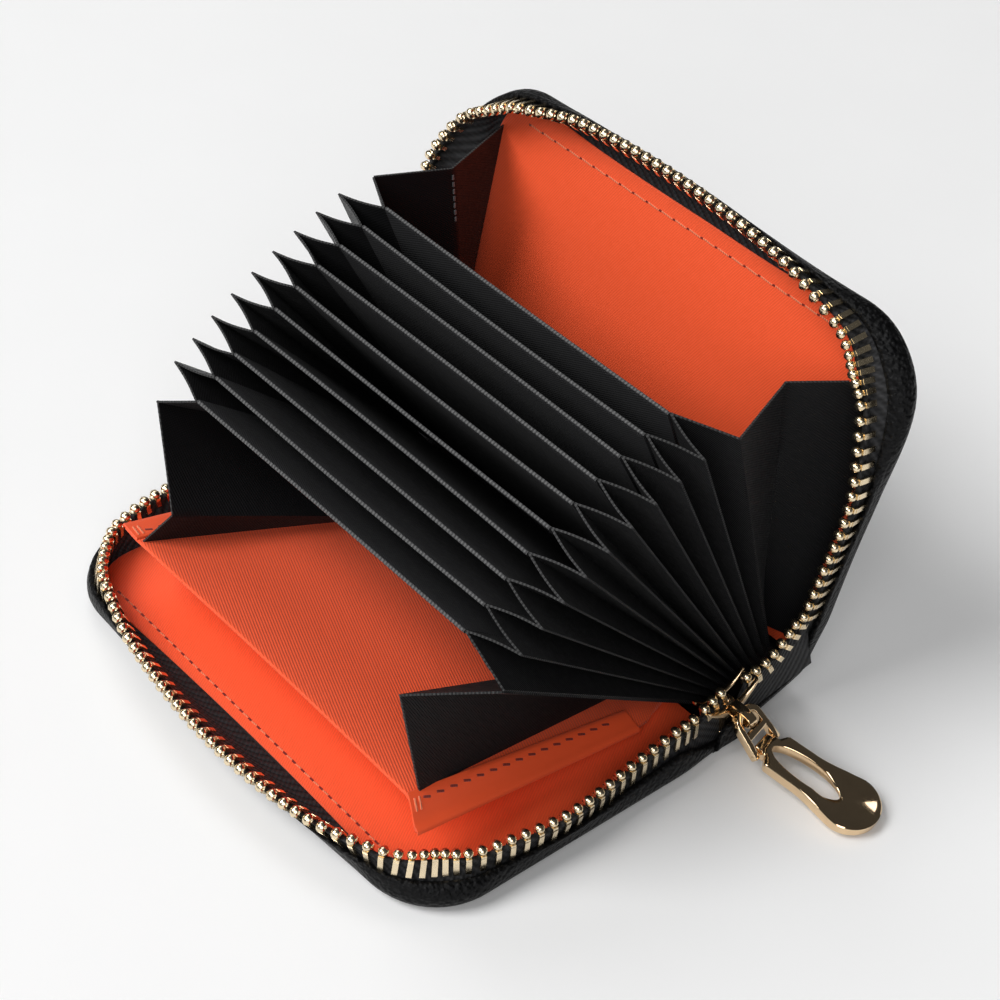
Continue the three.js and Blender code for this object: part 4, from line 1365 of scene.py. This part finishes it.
            spread = [(knot(a, top) - knot(b, top)).length for a, b in zip(numbers, numbers[1:])]
            work.surface(steps(0, walls, 12 * walls), steps(0, 1, 16), place,
                         lambda across, share: (across * sum(spread) / walls, (1 - share) * (top - start)))
            work.thicken(self.cloth)
            nodes = (node,) if part == "fold" else ()
            carrier = body if part == "fold" else holder
            piece = settle(work.done(self.finishes.pleat_twill, CLOTH_CREASE), carrier, "twill", *nodes)
            low_spread = [(knot(a, start) - knot(b, start)).length for a, b in zip(numbers, numbers[1:])]
            if part == "fold":
                foot = leaf.at(self.fold_mark, end.value * self.pleat_y)
                out = knot(1, self.fold_mark) - foot
                leaf.across(out)
                metres(foot)
                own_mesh(piece)
            else:
                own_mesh(piece)
        if label == "rear" and end is End.FAR:
            spots, out = [], Vector((0, 1, 0))
            for up in steps(top - 14.5, top - 2.5, 6):
                run = (knot(2, up + 1) - knot(2, up)).normalized()
                spots.append(frame_of(knot(2, up), run, out, run.cross(out)))
            row = blocks(f"{node}_stitches", self.stitch, spots, 0.1, self.finishes.grey_thread)
            piece = settle(row, holder, "twill")
            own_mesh(piece)


@dataclass
class PocketPanel:
    """The ribbed panel of the front slip pocket, whose stitched sides bend down to the lining."""

    finishes: Finishes
    angle: float = PANEL_ANGLE
    height: float = 70.5
    half_length: float = 48.0
    foot_half: float = 43.4
    foot_height: float = 14.0
    thickness: float = 0.8
    strip_y: Pair = (43.6, 48.6)
    near_drops: Pair = (1.0, 5.5)
    far_drops: Pair = (0.3, -0.5)
    stitch: tuple[float, float, float] = (1.7, 0.5, 0.3)
    stitch_pitch: float = 3.3
    stitch_drop: float = 3.8
    stitch_in: float = 1.6
    stitch_slant: float = 14
    bar: tuple[float, float, float] = (0.4, 2.6, 0.4)
    bar_drops: Pair = (0.9, 2.0)
    bar_in: float = 2.0

    def __post_init__(self) -> None:
        """Reads the panel's fold from the frame."""
        self.leaf = Leaf(fold_place("pocket_panel_fold"), self.angle)

    def build(self) -> None:
        """Makes the panel and its seams."""
        self.panel()
        for end in End:
            self.seam(end)

    def at(self, up: float, y: float, off: float) -> Vector:
        """Returns the point at a height on the panel, with the bend of its sides."""
        share = min(1.0, max(0.0, (up - self.foot_height) / (self.height - self.foot_height)))
        drop = lerp(*(self.near_drops if y < 0 else self.far_drops), share)
        return self.leaf.at(up, y, off + drop * ease((abs(y) - self.strip_y[0]) / 5.0))

    def carry(self, piece: bpy.types.Object, *nodes: str) -> bpy.types.Object:
        """Fixes a piece to the panel's body and returns it."""
        settle(piece, "pocket_panel", "pocket_cloth", *nodes)
        toward(self.angle + 90)
        metres(self.leaf.place)
        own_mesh(piece)
        return piece

    def panel(self) -> None:
        """Makes the panel with a folded top edge."""
        work = Workpiece("pocket_panel_cloth")
        half = self.thickness / 2
        top = self.height - half
        rise = [*steps(0.3, top - 3, 14), top - 1.2, top]

        def place(share: float, up: float, off: float) -> Vector:
            lift = 0.5 * cos(pi / 2 * share) * (up / self.height) ** 2
            reach = lerp(self.foot_half, self.half_length, ease(up / self.foot_height))
            return self.at(up, share * reach, off - lift)

        work.sweep(steps(-1, 1, 80), folded_section(rise, top, half), place,
                   lambda share, up, off: (share * self.half_length, self.height - up))
        piece = self.carry(work.done(self.finishes.pocket, CLOTH_CREASE), "pocket_panel")

    def stitch_place(self, up: float, y: float, off: float) -> Matrix:
        """Returns the frame of a stitch: X up the panel, Y across it, Z down through it."""
        middle = self.at(up, y, off)
        run = (self.at(up + 0.2, y, off) - middle).normalized()
        down = run.cross(self.at(up, y + 0.2, off) - middle).normalized()
        return frame_of(middle, run, down.cross(run), down)

    def seam(self, end: End) -> None:
        """Makes the strip and the stitches along one side of the panel."""
        label = end.name.lower()
        work = Workpiece(f"pocket_seam_{label}")
        inner, outer = self.strip_y
        base = -self.thickness / 2
        face = [(y, base - 0.5) for y in steps(inner + 0.2, outer - 0.1, 6)]
        back = [(y, base + 0.02) for y in steps(outer - 0.05, inner + 0.5, 5)]
        loop = [(inner, base + 0.02), (inner, base - 0.35), *face, (outer + 0.25, base - 0.1),
                (outer + 0.2, base + 0.5), (outer - 0.05, base + 0.6), *back]
        work.sweep(steps(self.foot_height, self.height + 0.1, 24), loop,
                   lambda up, y, off: self.at(up, end.value * y, off))
        self.carry(work.done(self.finishes.strip, CLOTH_CREASE), f"pocket_binding_{label}")
        count = int((self.height - self.foot_height - 4) // self.stitch_pitch)
        ups = [self.height - self.stitch_drop - index * self.stitch_pitch for index in range(count)]
        turn = Matrix.Rotation(radians(self.stitch_slant), 4, "Z")
        y = end.value * (inner + self.stitch_in)
        spots = [self.stitch_place(up, y, base - 0.45) @ turn for up in ups]
        # The seam's stitches take the dark thread: painted shade, the thread lying in shadow in its holes.
        self.carry(blocks(f"pocket_seam_stitches_{label}", self.stitch, spots, 0.12,
                          self.finishes.shaded_thread))
        y = end.value * (inner + self.bar_in)
        spots = [self.stitch_place(self.height - drop, y, base - 0.55) for drop in self.bar_drops]
        self.carry(blocks(f"pocket_seam_bars_{label}", self.bar, spots, 0.16,
                          self.finishes.orange_thread))


@dataclass
class ChainLead:
    """The end of the open zip by the slider: teeth that rise to its mouth, and the tape under them.

    Points are places in X and Z.
    """

    finishes: Finishes
    front_nubs: tuple[Pair, ...] = ((37.2, 14.8), (34.9, 14.1), (32.7, 13.3), (30.1, 12.5))
    rear_nubs: tuple[Pair, ...] = (
        (44.4, 15.0), (46.7, 15.5), (49.0, 16.4), (50.9, 17.9), (52.6, 19.8), (54.1, 21.8), (55.3, 23.7),
        (56.0, 25.9))
    front_y: Pair = (-56.4, -57.0)
    rear_y: Pair = (-56.35, -57.5)
    front_foot: tuple[Pair, Pair] = ((40.5, 2.4), (30.1, 2.4))
    rear_foot: tuple[Pair, Pair] = ((40.5, 2.4), (63.0, 9.0))
    tooth: Tooth = Tooth(legs=(1.5, 1.6))
    tape: float = 0.6
    tab_x: float = 38.8
    tab_half: float = 3.4
    tab_y: Pair = (-58.6, -59.9)
    tab_z: Pair = (0.8, 8.0)
    tab_round: float = 1.6
    tab_leather: float = 0.8

    def build(self) -> None:
        """Makes both sides of the lead, and the tab over the closed end of the zip."""
        front = self.frames(self.front_nubs, self.front_y)
        rear = self.frames(self.rear_nubs, self.rear_y)
        self.teeth("front_lead_teeth", front[:-1])
        teeth = self.teeth("rear_lead_teeth", rear[:-1])
        self.web("front_lead_tape", front, self.front_foot, "front_tape_ribbon")
        web = self.web("rear_lead_tape", rear, self.rear_foot, "spine_leather_end_near")
        for piece in (teeth, web):
            metres(fold_place("spine_fold"))
            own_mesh(piece)
        self.end_tab()

    def end_tab(self) -> None:
        """Makes the leather tab that covers the closed end of the zip below the slider."""
        work = Workpiece("zip_end_tab")

        def place(across: float, share: float) -> Vector:
            low, high = self.tab_z
            z = lerp(low, high - self.tab_round * across ** 4, share)
            y = lerp(*self.tab_y, ease(share / 0.35))
            return Vector((self.tab_x + self.tab_half * across, y, z))

        work.surface(steps(-1, 1, 12), steps(0, 1, 10), place)
        work.thicken(self.tab_leather)
        settle(work.done(self.finishes.leather, CLOTH_CREASE), "front_cover", "leather")

    def frames(self, nubs: Sequence[Pair], ys: Pair) -> list[Matrix]:
        """Returns the frames of a run of teeth: X along the run, Y out of the case, Z up to the nub.

        Args:
            nubs: The middles of the nubs, from the slider outwards.
            ys: Where the run starts and stops along Y.

        Returns:
            One frame for each nub, at the middle of the cord.
        """
        frames = []
        last = len(nubs) - 1
        for index, nub in enumerate(nubs):
            before, after = nubs[max(0, index - 1)], nubs[min(last, index + 1)]
            run = Vector((after[0] - before[0], 0, after[1] - before[1])).normalized()
            up = Vector((-run.z, 0, run.x))
            if up.z < 0:
                up = -up
            cord = Vector((nub[0], lerp(*ys, index / last), nub[1])) - up * self.tooth.nub_z
            frames.append(frame_of(cord, run, Vector((0, -1, 0)), up))
        return frames

    def teeth(self, name: str, frames: Sequence[Matrix]) -> bpy.types.Object:
        """Makes the teeth of one side."""
        work = Workpiece(name)
        for place in frames:
            self.tooth.add(work, place)
        return settle(work.done(self.finishes.teeth, TOOTH_CREASE), "front_cover", "zip_teeth")

    def web(self, name: str, frames: Sequence[Matrix], foot: tuple[Pair, Pair],
            rests_on: str) -> bpy.types.Object:
        """Makes the tape between the cord and the leather.

        Args:
            name: The piece's name.
            frames: The frames of the teeth above it.
            foot: Where its lower edge starts and stops.
            rests_on: The piece that it is sewn to; not used.

        Returns:
            The piece.
        """
        work = Workpiece(name)
        cords = [place.translation for place in frames]
        count = len(cords) - 1
        marks = [index / count for index in range(count + 1)]
        (start_x, start_z), (end_x, end_z) = foot

        def place(along: float, share: float) -> Vector:
            head = Vector([through(marks, [cord[axis] for cord in cords], along) for axis in range(3)])
            low = Vector((lerp(start_x, end_x, along), head.y, lerp(start_z, end_z, along)))
            return low.lerp(head, share)

        alongs = steps(0, 1, 24)
        width = abs(end_x - start_x)
        work.surface(alongs, steps(0, 1, 8), place, lambda along, share: (along * width, share * 9))
        work.thicken(self.tape)
        piece = settle(work.done(self.finishes.tape, CLOTH_CREASE), "front_cover", "zip_tape")
        heights = [(place(along, 1) - place(along, 0)).length for along in alongs]
        return piece


@dataclass
class Slider:
    """The zip slider with its bridge, and the closed end of the chain below it."""

    finishes: Finishes
    x: float = 39.5
    y: float = -56.35
    z: float = 9.6
    tilt: float = 9.0
    half_height: float = 5.0
    mouth: float = 6.6
    tail: float = 2.4
    dip: float = 2.1
    plate: float = 1.0
    channel: float = 3.0
    bridge_rise: float = 1.6
    bridge_reach: float = 5.6
    bridge_half: Pair = (1.0, 2.0)
    bridge_bar: float = 0.8
    post_half: float = 1.2
    post_shoulder: float = 1.8
    post_depth: float = 5.6
    wall: float = 0.7
    stud: float = 0.45
    stud_off: float = 0.75
    chain_teeth: int = 5
    chain_tooth: tuple[float, float, float] = (2.2, 2.1, 1.3)
    chain_shift: float = 0.55
    chain_stop: tuple[float, float, float] = (3.4, 2.4, 1.2)
    chain_crease: float = 50

    def on(self, x: float, y: float, z: float) -> Vector:
        """Returns a point of the slider's own tilted frame in the shared frame."""
        lean = radians(self.tilt)
        return Vector((self.x + x * cos(lean) - z * sin(lean), self.y + y,
                       self.z + x * sin(lean) + z * cos(lean)))

    def build(self) -> None:
        """Makes the slider and the chain end."""
        work = Workpiece("slider_casting")
        turn = Matrix.Rotation(radians(-self.tilt), 4, "Y")
        outline = self.outline()
        for side in (-1, 1):
            start = side * self.channel / 2
            edges = work.plate(outline, Vector((0, side * self.plate, 0)),
                               lambda x, z, y=start: self.on(x, y, z))
            work.round_across(edges, Vector((0, 1, 0)), 0.3, 3)
        top = self.dip + 0.5
        half, shoulder = self.post_half, top - self.post_shoulder
        post = [(0, top - self.post_depth), (half, shoulder), (half, top), (-half, top), (-half, shoulder)]
        depth = self.channel + 0.4
        edges = work.plate(post, Vector((0, depth, 0)), lambda x, z: self.on(x, -self.channel / 2 - 0.2, z))
        work.round_edges(edges, 0.2)
        for side in (-1, 1):
            wall = Matrix.Translation(self.on(side * (self.tail - self.wall / 2), 0, -self.half_height / 2))
            work.block((self.wall, depth, self.half_height), wall @ turn, 0.2)
        for side in (-1, 1):
            stud = Matrix.Translation(self.on(0, side * self.stud_off, top))
            bmesh.ops.create_icosphere(work.bm, subdivisions=2, radius=self.stud, matrix=stud)
        self.bridge(work)
        settle(work.done(self.finishes.gold, METAL_CREASE), "zip_slider", "polished_gold", "slider_body")
        self.chain_end()

    def outline(self) -> list[Pair]:
        """Returns the outline of a plate: narrow tail and two thin wings with a dip between their tips."""
        half, mouth, tail = self.half_height, self.mouth, self.tail
        right = [(tail - 0.6, -half), (tail, -half + 0.7)]
        right += bezier([(tail, 0.2), (tail + 0.4, 1.2), (mouth - 1.8, 1.9), (mouth, half - 0.8)], 9)
        tip = (mouth - 0.2, half + 0.1)
        right += bezier([(mouth, half - 0.8), (mouth + 0.3, half - 0.3), (mouth + 0.2, half + 0.2), tip], 4)
        right += bezier([tip, (4.6, self.dip + 0.8), (2.4, self.dip), (0.0, self.dip)], 10)
        return [*right, (0.0, self.dip), *[(-x, z) for x, z in reversed(right)]]

    def bridge(self, work: Workpiece) -> None:
        """Adds the arched bridge that the link hangs on."""
        plate_y = -self.channel / 2 - self.plate
        wide, half = self.bridge_half

        def arch(reach: float, tall: float) -> list[Pair]:
            upper = [(0.3, tall), (-0.45 * reach, tall), (-reach, tall), (-reach, 0.0)]
            lower = [(y, -z) for y, z in reversed(upper)]
            return [*bezier(upper, 9), *bezier(lower, 9), lower[-1]]

        outline = [*arch(self.bridge_reach, half),
                   *reversed(arch(self.bridge_reach - self.bridge_bar, half - self.bridge_bar))]
        edges = work.plate(outline, self.on(2 * wide, 0, 0) - self.on(0, 0, 0),
                           lambda y, z: self.on(-wide, plate_y + y, self.bridge_rise + z))
        work.round_across(edges, self.on(1, 0, 0) - self.on(0, 0, 0), 0.24)

    def chain_end(self) -> None:
        """Makes the last closed teeth and the stop below the slider."""
        work = Workpiece("chain_end_teeth")
        low, high = (Vector(corner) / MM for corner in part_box("chain_end"))
        middle = (low + high) / 2
        for index, z in enumerate(steps(low.z + 1.6, high.z - 0.6, self.chain_teeth - 1)):
            x = middle.x + (-self.chain_shift if index % 2 else self.chain_shift)
            work.block(self.chain_tooth, Matrix.Translation((x, middle.y, z)), 0.3)
        work.block(self.chain_stop, Matrix.Translation((middle.x, middle.y, low.z + 0.65)), 0.35)
        settle(work.done(self.finishes.teeth, self.chain_crease), "front_cover", "zip_teeth", "chain_end")


@dataclass
class Pull:
    """The pull: link, pin and spoon-shaped tab."""

    finishes: Finishes
    link_width: float = 9.2
    link_bar: float = 1.5
    link_thickness: float = 1.8
    link_bend: float = 2.3
    link_top: float = -0.5
    link_end: float = 0.7
    link_taper: float = 0.5
    foot_size: float = 0.86
    cross_at: float = 3.9
    pin_radius: float = 0.4
    reach: float = 26.3
    thickness: float = 2.4
    end_half: float = 7.25
    shoulder: float = 4.9
    waist: float = 5.0
    slot_half: Pair = (2.9, 8.0)
    slot_start: float = 1.8
    neck: float = 0.2
    neck_half: float = 2.8
    neck_start: float = 1.2
    neck_swell: float = 1.4
    neck_end: float = 2.6
    floor_gap: float = 0.3
    dish: float = 1.4
    tongue: tuple[float, float, float] = (5.0, 2.8, 2.1)

    def __post_init__(self) -> None:
        """Reads the two axes from the frame."""
        self.axis = fold_place("link_hinge")
        self.pin = fold_place("tab_hinge")
        self.side = -Vector(joint_entry("tab_hinge")["axis"]).normalized()

    def build(self) -> None:
        """Makes the link, the pin and the tab."""
        self.link()
        self.tab()

    def link_frame(self) -> Matrix:
        """Returns the link's frame: X across, Y down its length, Z out of its face."""
        run = (self.pin - self.axis).normalized()
        return frame_of(self.axis, self.side, run, self.side.cross(run))

    def link_path(self, length: float) -> list[tuple[Vector, Vector]]:
        """Returns the link's bent bar, from foot over top to foot, as places and outward directions."""
        x, bend = self.link_width / 2 - self.link_bar / 2, self.link_bend
        top_x = x - self.link_taper
        right = []
        for angle in steps(90, 0, 8):
            out = Vector((cos(radians(angle)), -sin(radians(angle)), 0))
            right.append((Vector((top_x - bend, self.link_top + bend, 0)) + out * bend, out))
        out = Vector((1, 0, 0))
        start, end = self.link_top + bend, length + self.link_end
        right += [(Vector((lerp(top_x, x, share), lerp(start, end, share), 0)), out)
                  for share in (0.3, 0.6, 0.97, 1.0)]
        left = [(Vector((-spot.x, spot.y, 0)), Vector((-out.x, out.y, 0))) for spot, out in reversed(right)]
        return left + right

    def link(self) -> None:
        """Makes the link from one bent bar and a cross bar, with its pin."""
        work = Workpiece("pull_link_frame")
        link_frame = self.link_frame()
        length = (self.pin - self.axis).length
        bar, thick = self.link_bar, self.link_thickness
        path = self.link_path(length)
        last = len(path) - 1

        def place(index: float, spot: float) -> Vector:
            middle, out = path[int(index)]
            lean = 2 * pi * (spot % 16) / 16
            size = self.foot_size if index in (0, last) else 1.0
            wide = squared(cos(lean), 0.4) * bar / 2 * size
            deep = squared(sin(lean), 0.4) * thick / 2 * size
            return link_frame @ (middle + out * wide + Vector((0, 0, deep)))

        work.surface(range(len(path)), range(17), place)
        cross = Matrix.Translation((0, self.cross_at, 0))
        work.block((self.link_width - 1.5 * bar, bar * 0.9, thick * 0.94), link_frame @ cross, 0.3)
        settle(work.done(self.finishes.gold, METAL_CREASE), "pull_link", "polished_gold", "pull_link")
        pin = Workpiece("pull_link_pin")
        turn = link_frame @ Matrix.Translation((0, length, 0)) @ Matrix.Rotation(radians(90), 4, "Y")
        bmesh.ops.create_cone(pin.bm, cap_ends=True, segments=20, radius1=self.pin_radius,
                              radius2=self.pin_radius, depth=self.link_width, matrix=turn)
        pin.round_across(pin.bm.edges, self.side, 0.12)
        settle(pin.done(self.finishes.gold, METAL_CREASE), "pull_link", "polished_gold", "link_pin")

    def half_width(self, share: float) -> float:
        """Returns the tab's half width at a share of its length from the neck to the tip."""
        swell = ease((share - 0.35) / 0.5)
        body = lerp(lerp(self.shoulder, self.waist, ease(share / 0.4)), self.end_half, swell)
        length = self.reach - self.neck
        round_end = self.end_half / length
        if share > 1 - round_end:
            lean = (share - 1 + round_end) / round_end
            body *= max(0.0, 1 - lean * lean) ** 0.5
        run = share * length
        if run < self.neck_end:
            body = lerp(self.neck_half, body, ease((run - self.neck_start) / self.neck_swell))
            body *= min(1.0, 0.6 + run)
        return body

    def tab(self) -> None:
        """Makes the spoon-shaped tab as one ring round its slot, with a tongue on the pin."""
        work = Workpiece("pull_tab_spoon")
        tilt = asin((self.pin.z - self.thickness / 2 - self.floor_gap) / self.reach)
        up = Vector((0, 0, 1))
        tab_frame = frame_of(self.pin, self.side, up.cross(self.side), up) @ Matrix.Rotation(tilt, 4, "X")
        length = self.reach - self.neck
        slot_middle = -self.slot_start - self.slot_half[1]
        across_steps, round_steps = 20, 96

        def rim(turn: float) -> Vector:
            share = (1 - cos(turn)) / 2
            side = 1 if sin(turn) >= 0 else -1
            return Vector((side * self.half_width(share), -self.neck - share * length, 0))

        def slot(turn: float) -> Vector:
            return Vector((self.slot_half[0] * sin(turn), slot_middle + self.slot_half[1] * cos(turn), 0))

        def place(index: float, spot: float) -> Vector:
            turn = 2 * pi * (index % round_steps) / round_steps
            lean = 2 * pi * (spot % across_steps) / across_steps
            share = 0.5 - 0.5 * squared(cos(lean), 0.35)
            height = self.thickness / 2 * squared(sin(lean), 0.3)
            point = slot(turn).lerp(rim(turn), share)
            gap = hypot(point.x, point.y + self.reach - self.end_half)
            if height > 0:
                height -= self.dish * max(0.0, 1 - (gap / (self.end_half - 0.4)) ** 2)
            return tab_frame @ Vector((point.x, point.y, height))

        work.surface(range(round_steps + 1), range(across_steps + 1), place)
        work.block(self.tongue, tab_frame @ Matrix.Translation((0, -self.neck, 0)), 0.5, 3)
        settle(work.done(self.finishes.gold, METAL_CREASE), "pull_tab", "polished_gold", "pull_tab")


@dataclass
class Studio:
    """Camera, light and floor."""

    lens: float = 85.03
    eye: tuple[float, float, float] = (-226.3, -266.4, 334.0)
    forward: tuple[float, float, float] = (0.53163, 0.55862, -0.63664)
    upward: tuple[float, float, float] = (0.37419, 0.51943, 0.76823)
    aim: tuple[float, float, float] = (0.03, 0.0, 0.03)
    lamp_size: float = 2.2
    room: float = 0.05
    floor_half: float = 4000.0
    floor_z: float = -0.05

    def build(self) -> None:
        """Sets up the whole studio."""
        self.camera()
        self.lamps()
        self.floor()
        bpy.context.scene.view_settings.view_transform = "Standard"

    def camera(self) -> None:
        """Puts the camera where the photograph was taken from."""
        camera = bpy.data.objects.new("camera", bpy.data.cameras.new("camera"))
        camera.data.lens = self.lens
        camera.data.sensor_width = 36.0
        camera.data.clip_start = 0.01
        back = -Vector(self.forward).normalized()
        up = Vector(self.upward)
        up = (up - back * up.dot(back)).normalized()
        camera.matrix_world = frame_of(Vector(self.eye) * MM, up.cross(back), up, back)
        bpy.context.scene.collection.objects.link(camera)
        bpy.context.scene.camera = camera

    def lamp(self, name: str, spot: tuple[float, float, float], power: float) -> None:
        """Hangs a square soft lamp that faces the case."""
        light = bpy.data.lights.new(name, "AREA")
        light.size = self.lamp_size
        light.energy = power
        lamp = bpy.data.objects.new(name, light)
        lamp.location = spot
        aim = Vector(self.aim) - Vector(spot)
        lamp.rotation_euler = aim.to_track_quat("-Z", "Y").to_euler()
        bpy.context.scene.collection.objects.link(lamp)

    def lamps(self) -> None:
        """Hangs the key, the back lamp and the fill, and sets the room's light."""
        self.lamp("key", (-2.3, 1.2, 2.9), power=122.0)
        self.lamp("back", (1.0, 2.4, 3.2), power=35.0)
        self.lamp("fill", (-2.0, -1.9, 2.0), power=54.0)
        world = bpy.data.worlds.new("studio")
        world.use_nodes = True
        background = world.node_tree.nodes["Background"]
        background.inputs["Color"].default_value = (1.0, 1.0, 1.0, 1.0)
        background.inputs["Strength"].default_value = self.room
        bpy.context.scene.world = world

    def floor(self) -> None:
        """Lays the pale floor."""
        work = Workpiece("floor")
        marks = steps(-self.floor_half, self.floor_half, 2)
        work.surface(marks, marks, lambda x, y: Vector((x, y, self.floor_z)))
        shader = Shader("pale_floor")
        speck = shader.add("TexNoise", {"Vector": shader.coordinate("Object"), "Scale": 30.0})
        shader.tint(speck.outputs["Fac"], (1.0, 1.0, 1.0), 0.93, 0.95)
        shader.set(Roughness=0.6, Specular_IOR_Level=0.2)
        bm = work.bm
        bmesh.ops.recalc_face_normals(bm, faces=bm.faces)
        for face in bm.faces:
            if face.normal.z < 0:
                face.normal_flip()
        bmesh.ops.scale(bm, vec=(MM, MM, MM), verts=bm.verts)
        mesh = bpy.data.meshes.new("floor")
        bm.to_mesh(mesh)
        bm.free()
        mesh.materials.append(shader.material)
        ground = bpy.data.objects.new("floor", mesh)
        bpy.context.scene.collection.objects.link(ground)


def main() -> None:
    """Builds the studio and the case piece by piece."""
    logging.basicConfig(level=logging.INFO, format="%(name)s: %(message)s")
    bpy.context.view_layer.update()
    Studio().build()
    finishes = Finishes()
    front_row = StitchRow(inset=6.9, pitch=2.9, thread=1.7, hole_shade=1.0)
    rear_row = StitchRow(inset=8.5, pitch=4.0, thread=3.3, hole_shade=0.6)
    Cover(CoverName.FRONT, finishes, follow=0.12, row=front_row).build()
    Cover(CoverName.REAR, finishes, follow=0.2, row=rear_row).build()
    ZipSide(CoverName.FRONT, finishes, row_end=7.0, shift=0.0).build()
    ZipSide(CoverName.REAR, finishes, row_end=13.0, shift=0.5).build()
    Spine(finishes).build()
    PocketPanel(finishes).build()
    CardFan(finishes).build()
    ChainLead(finishes).build()
    Slider(finishes).build()
    Pull(finishes).build()


if __name__ == "__main__":
    main()
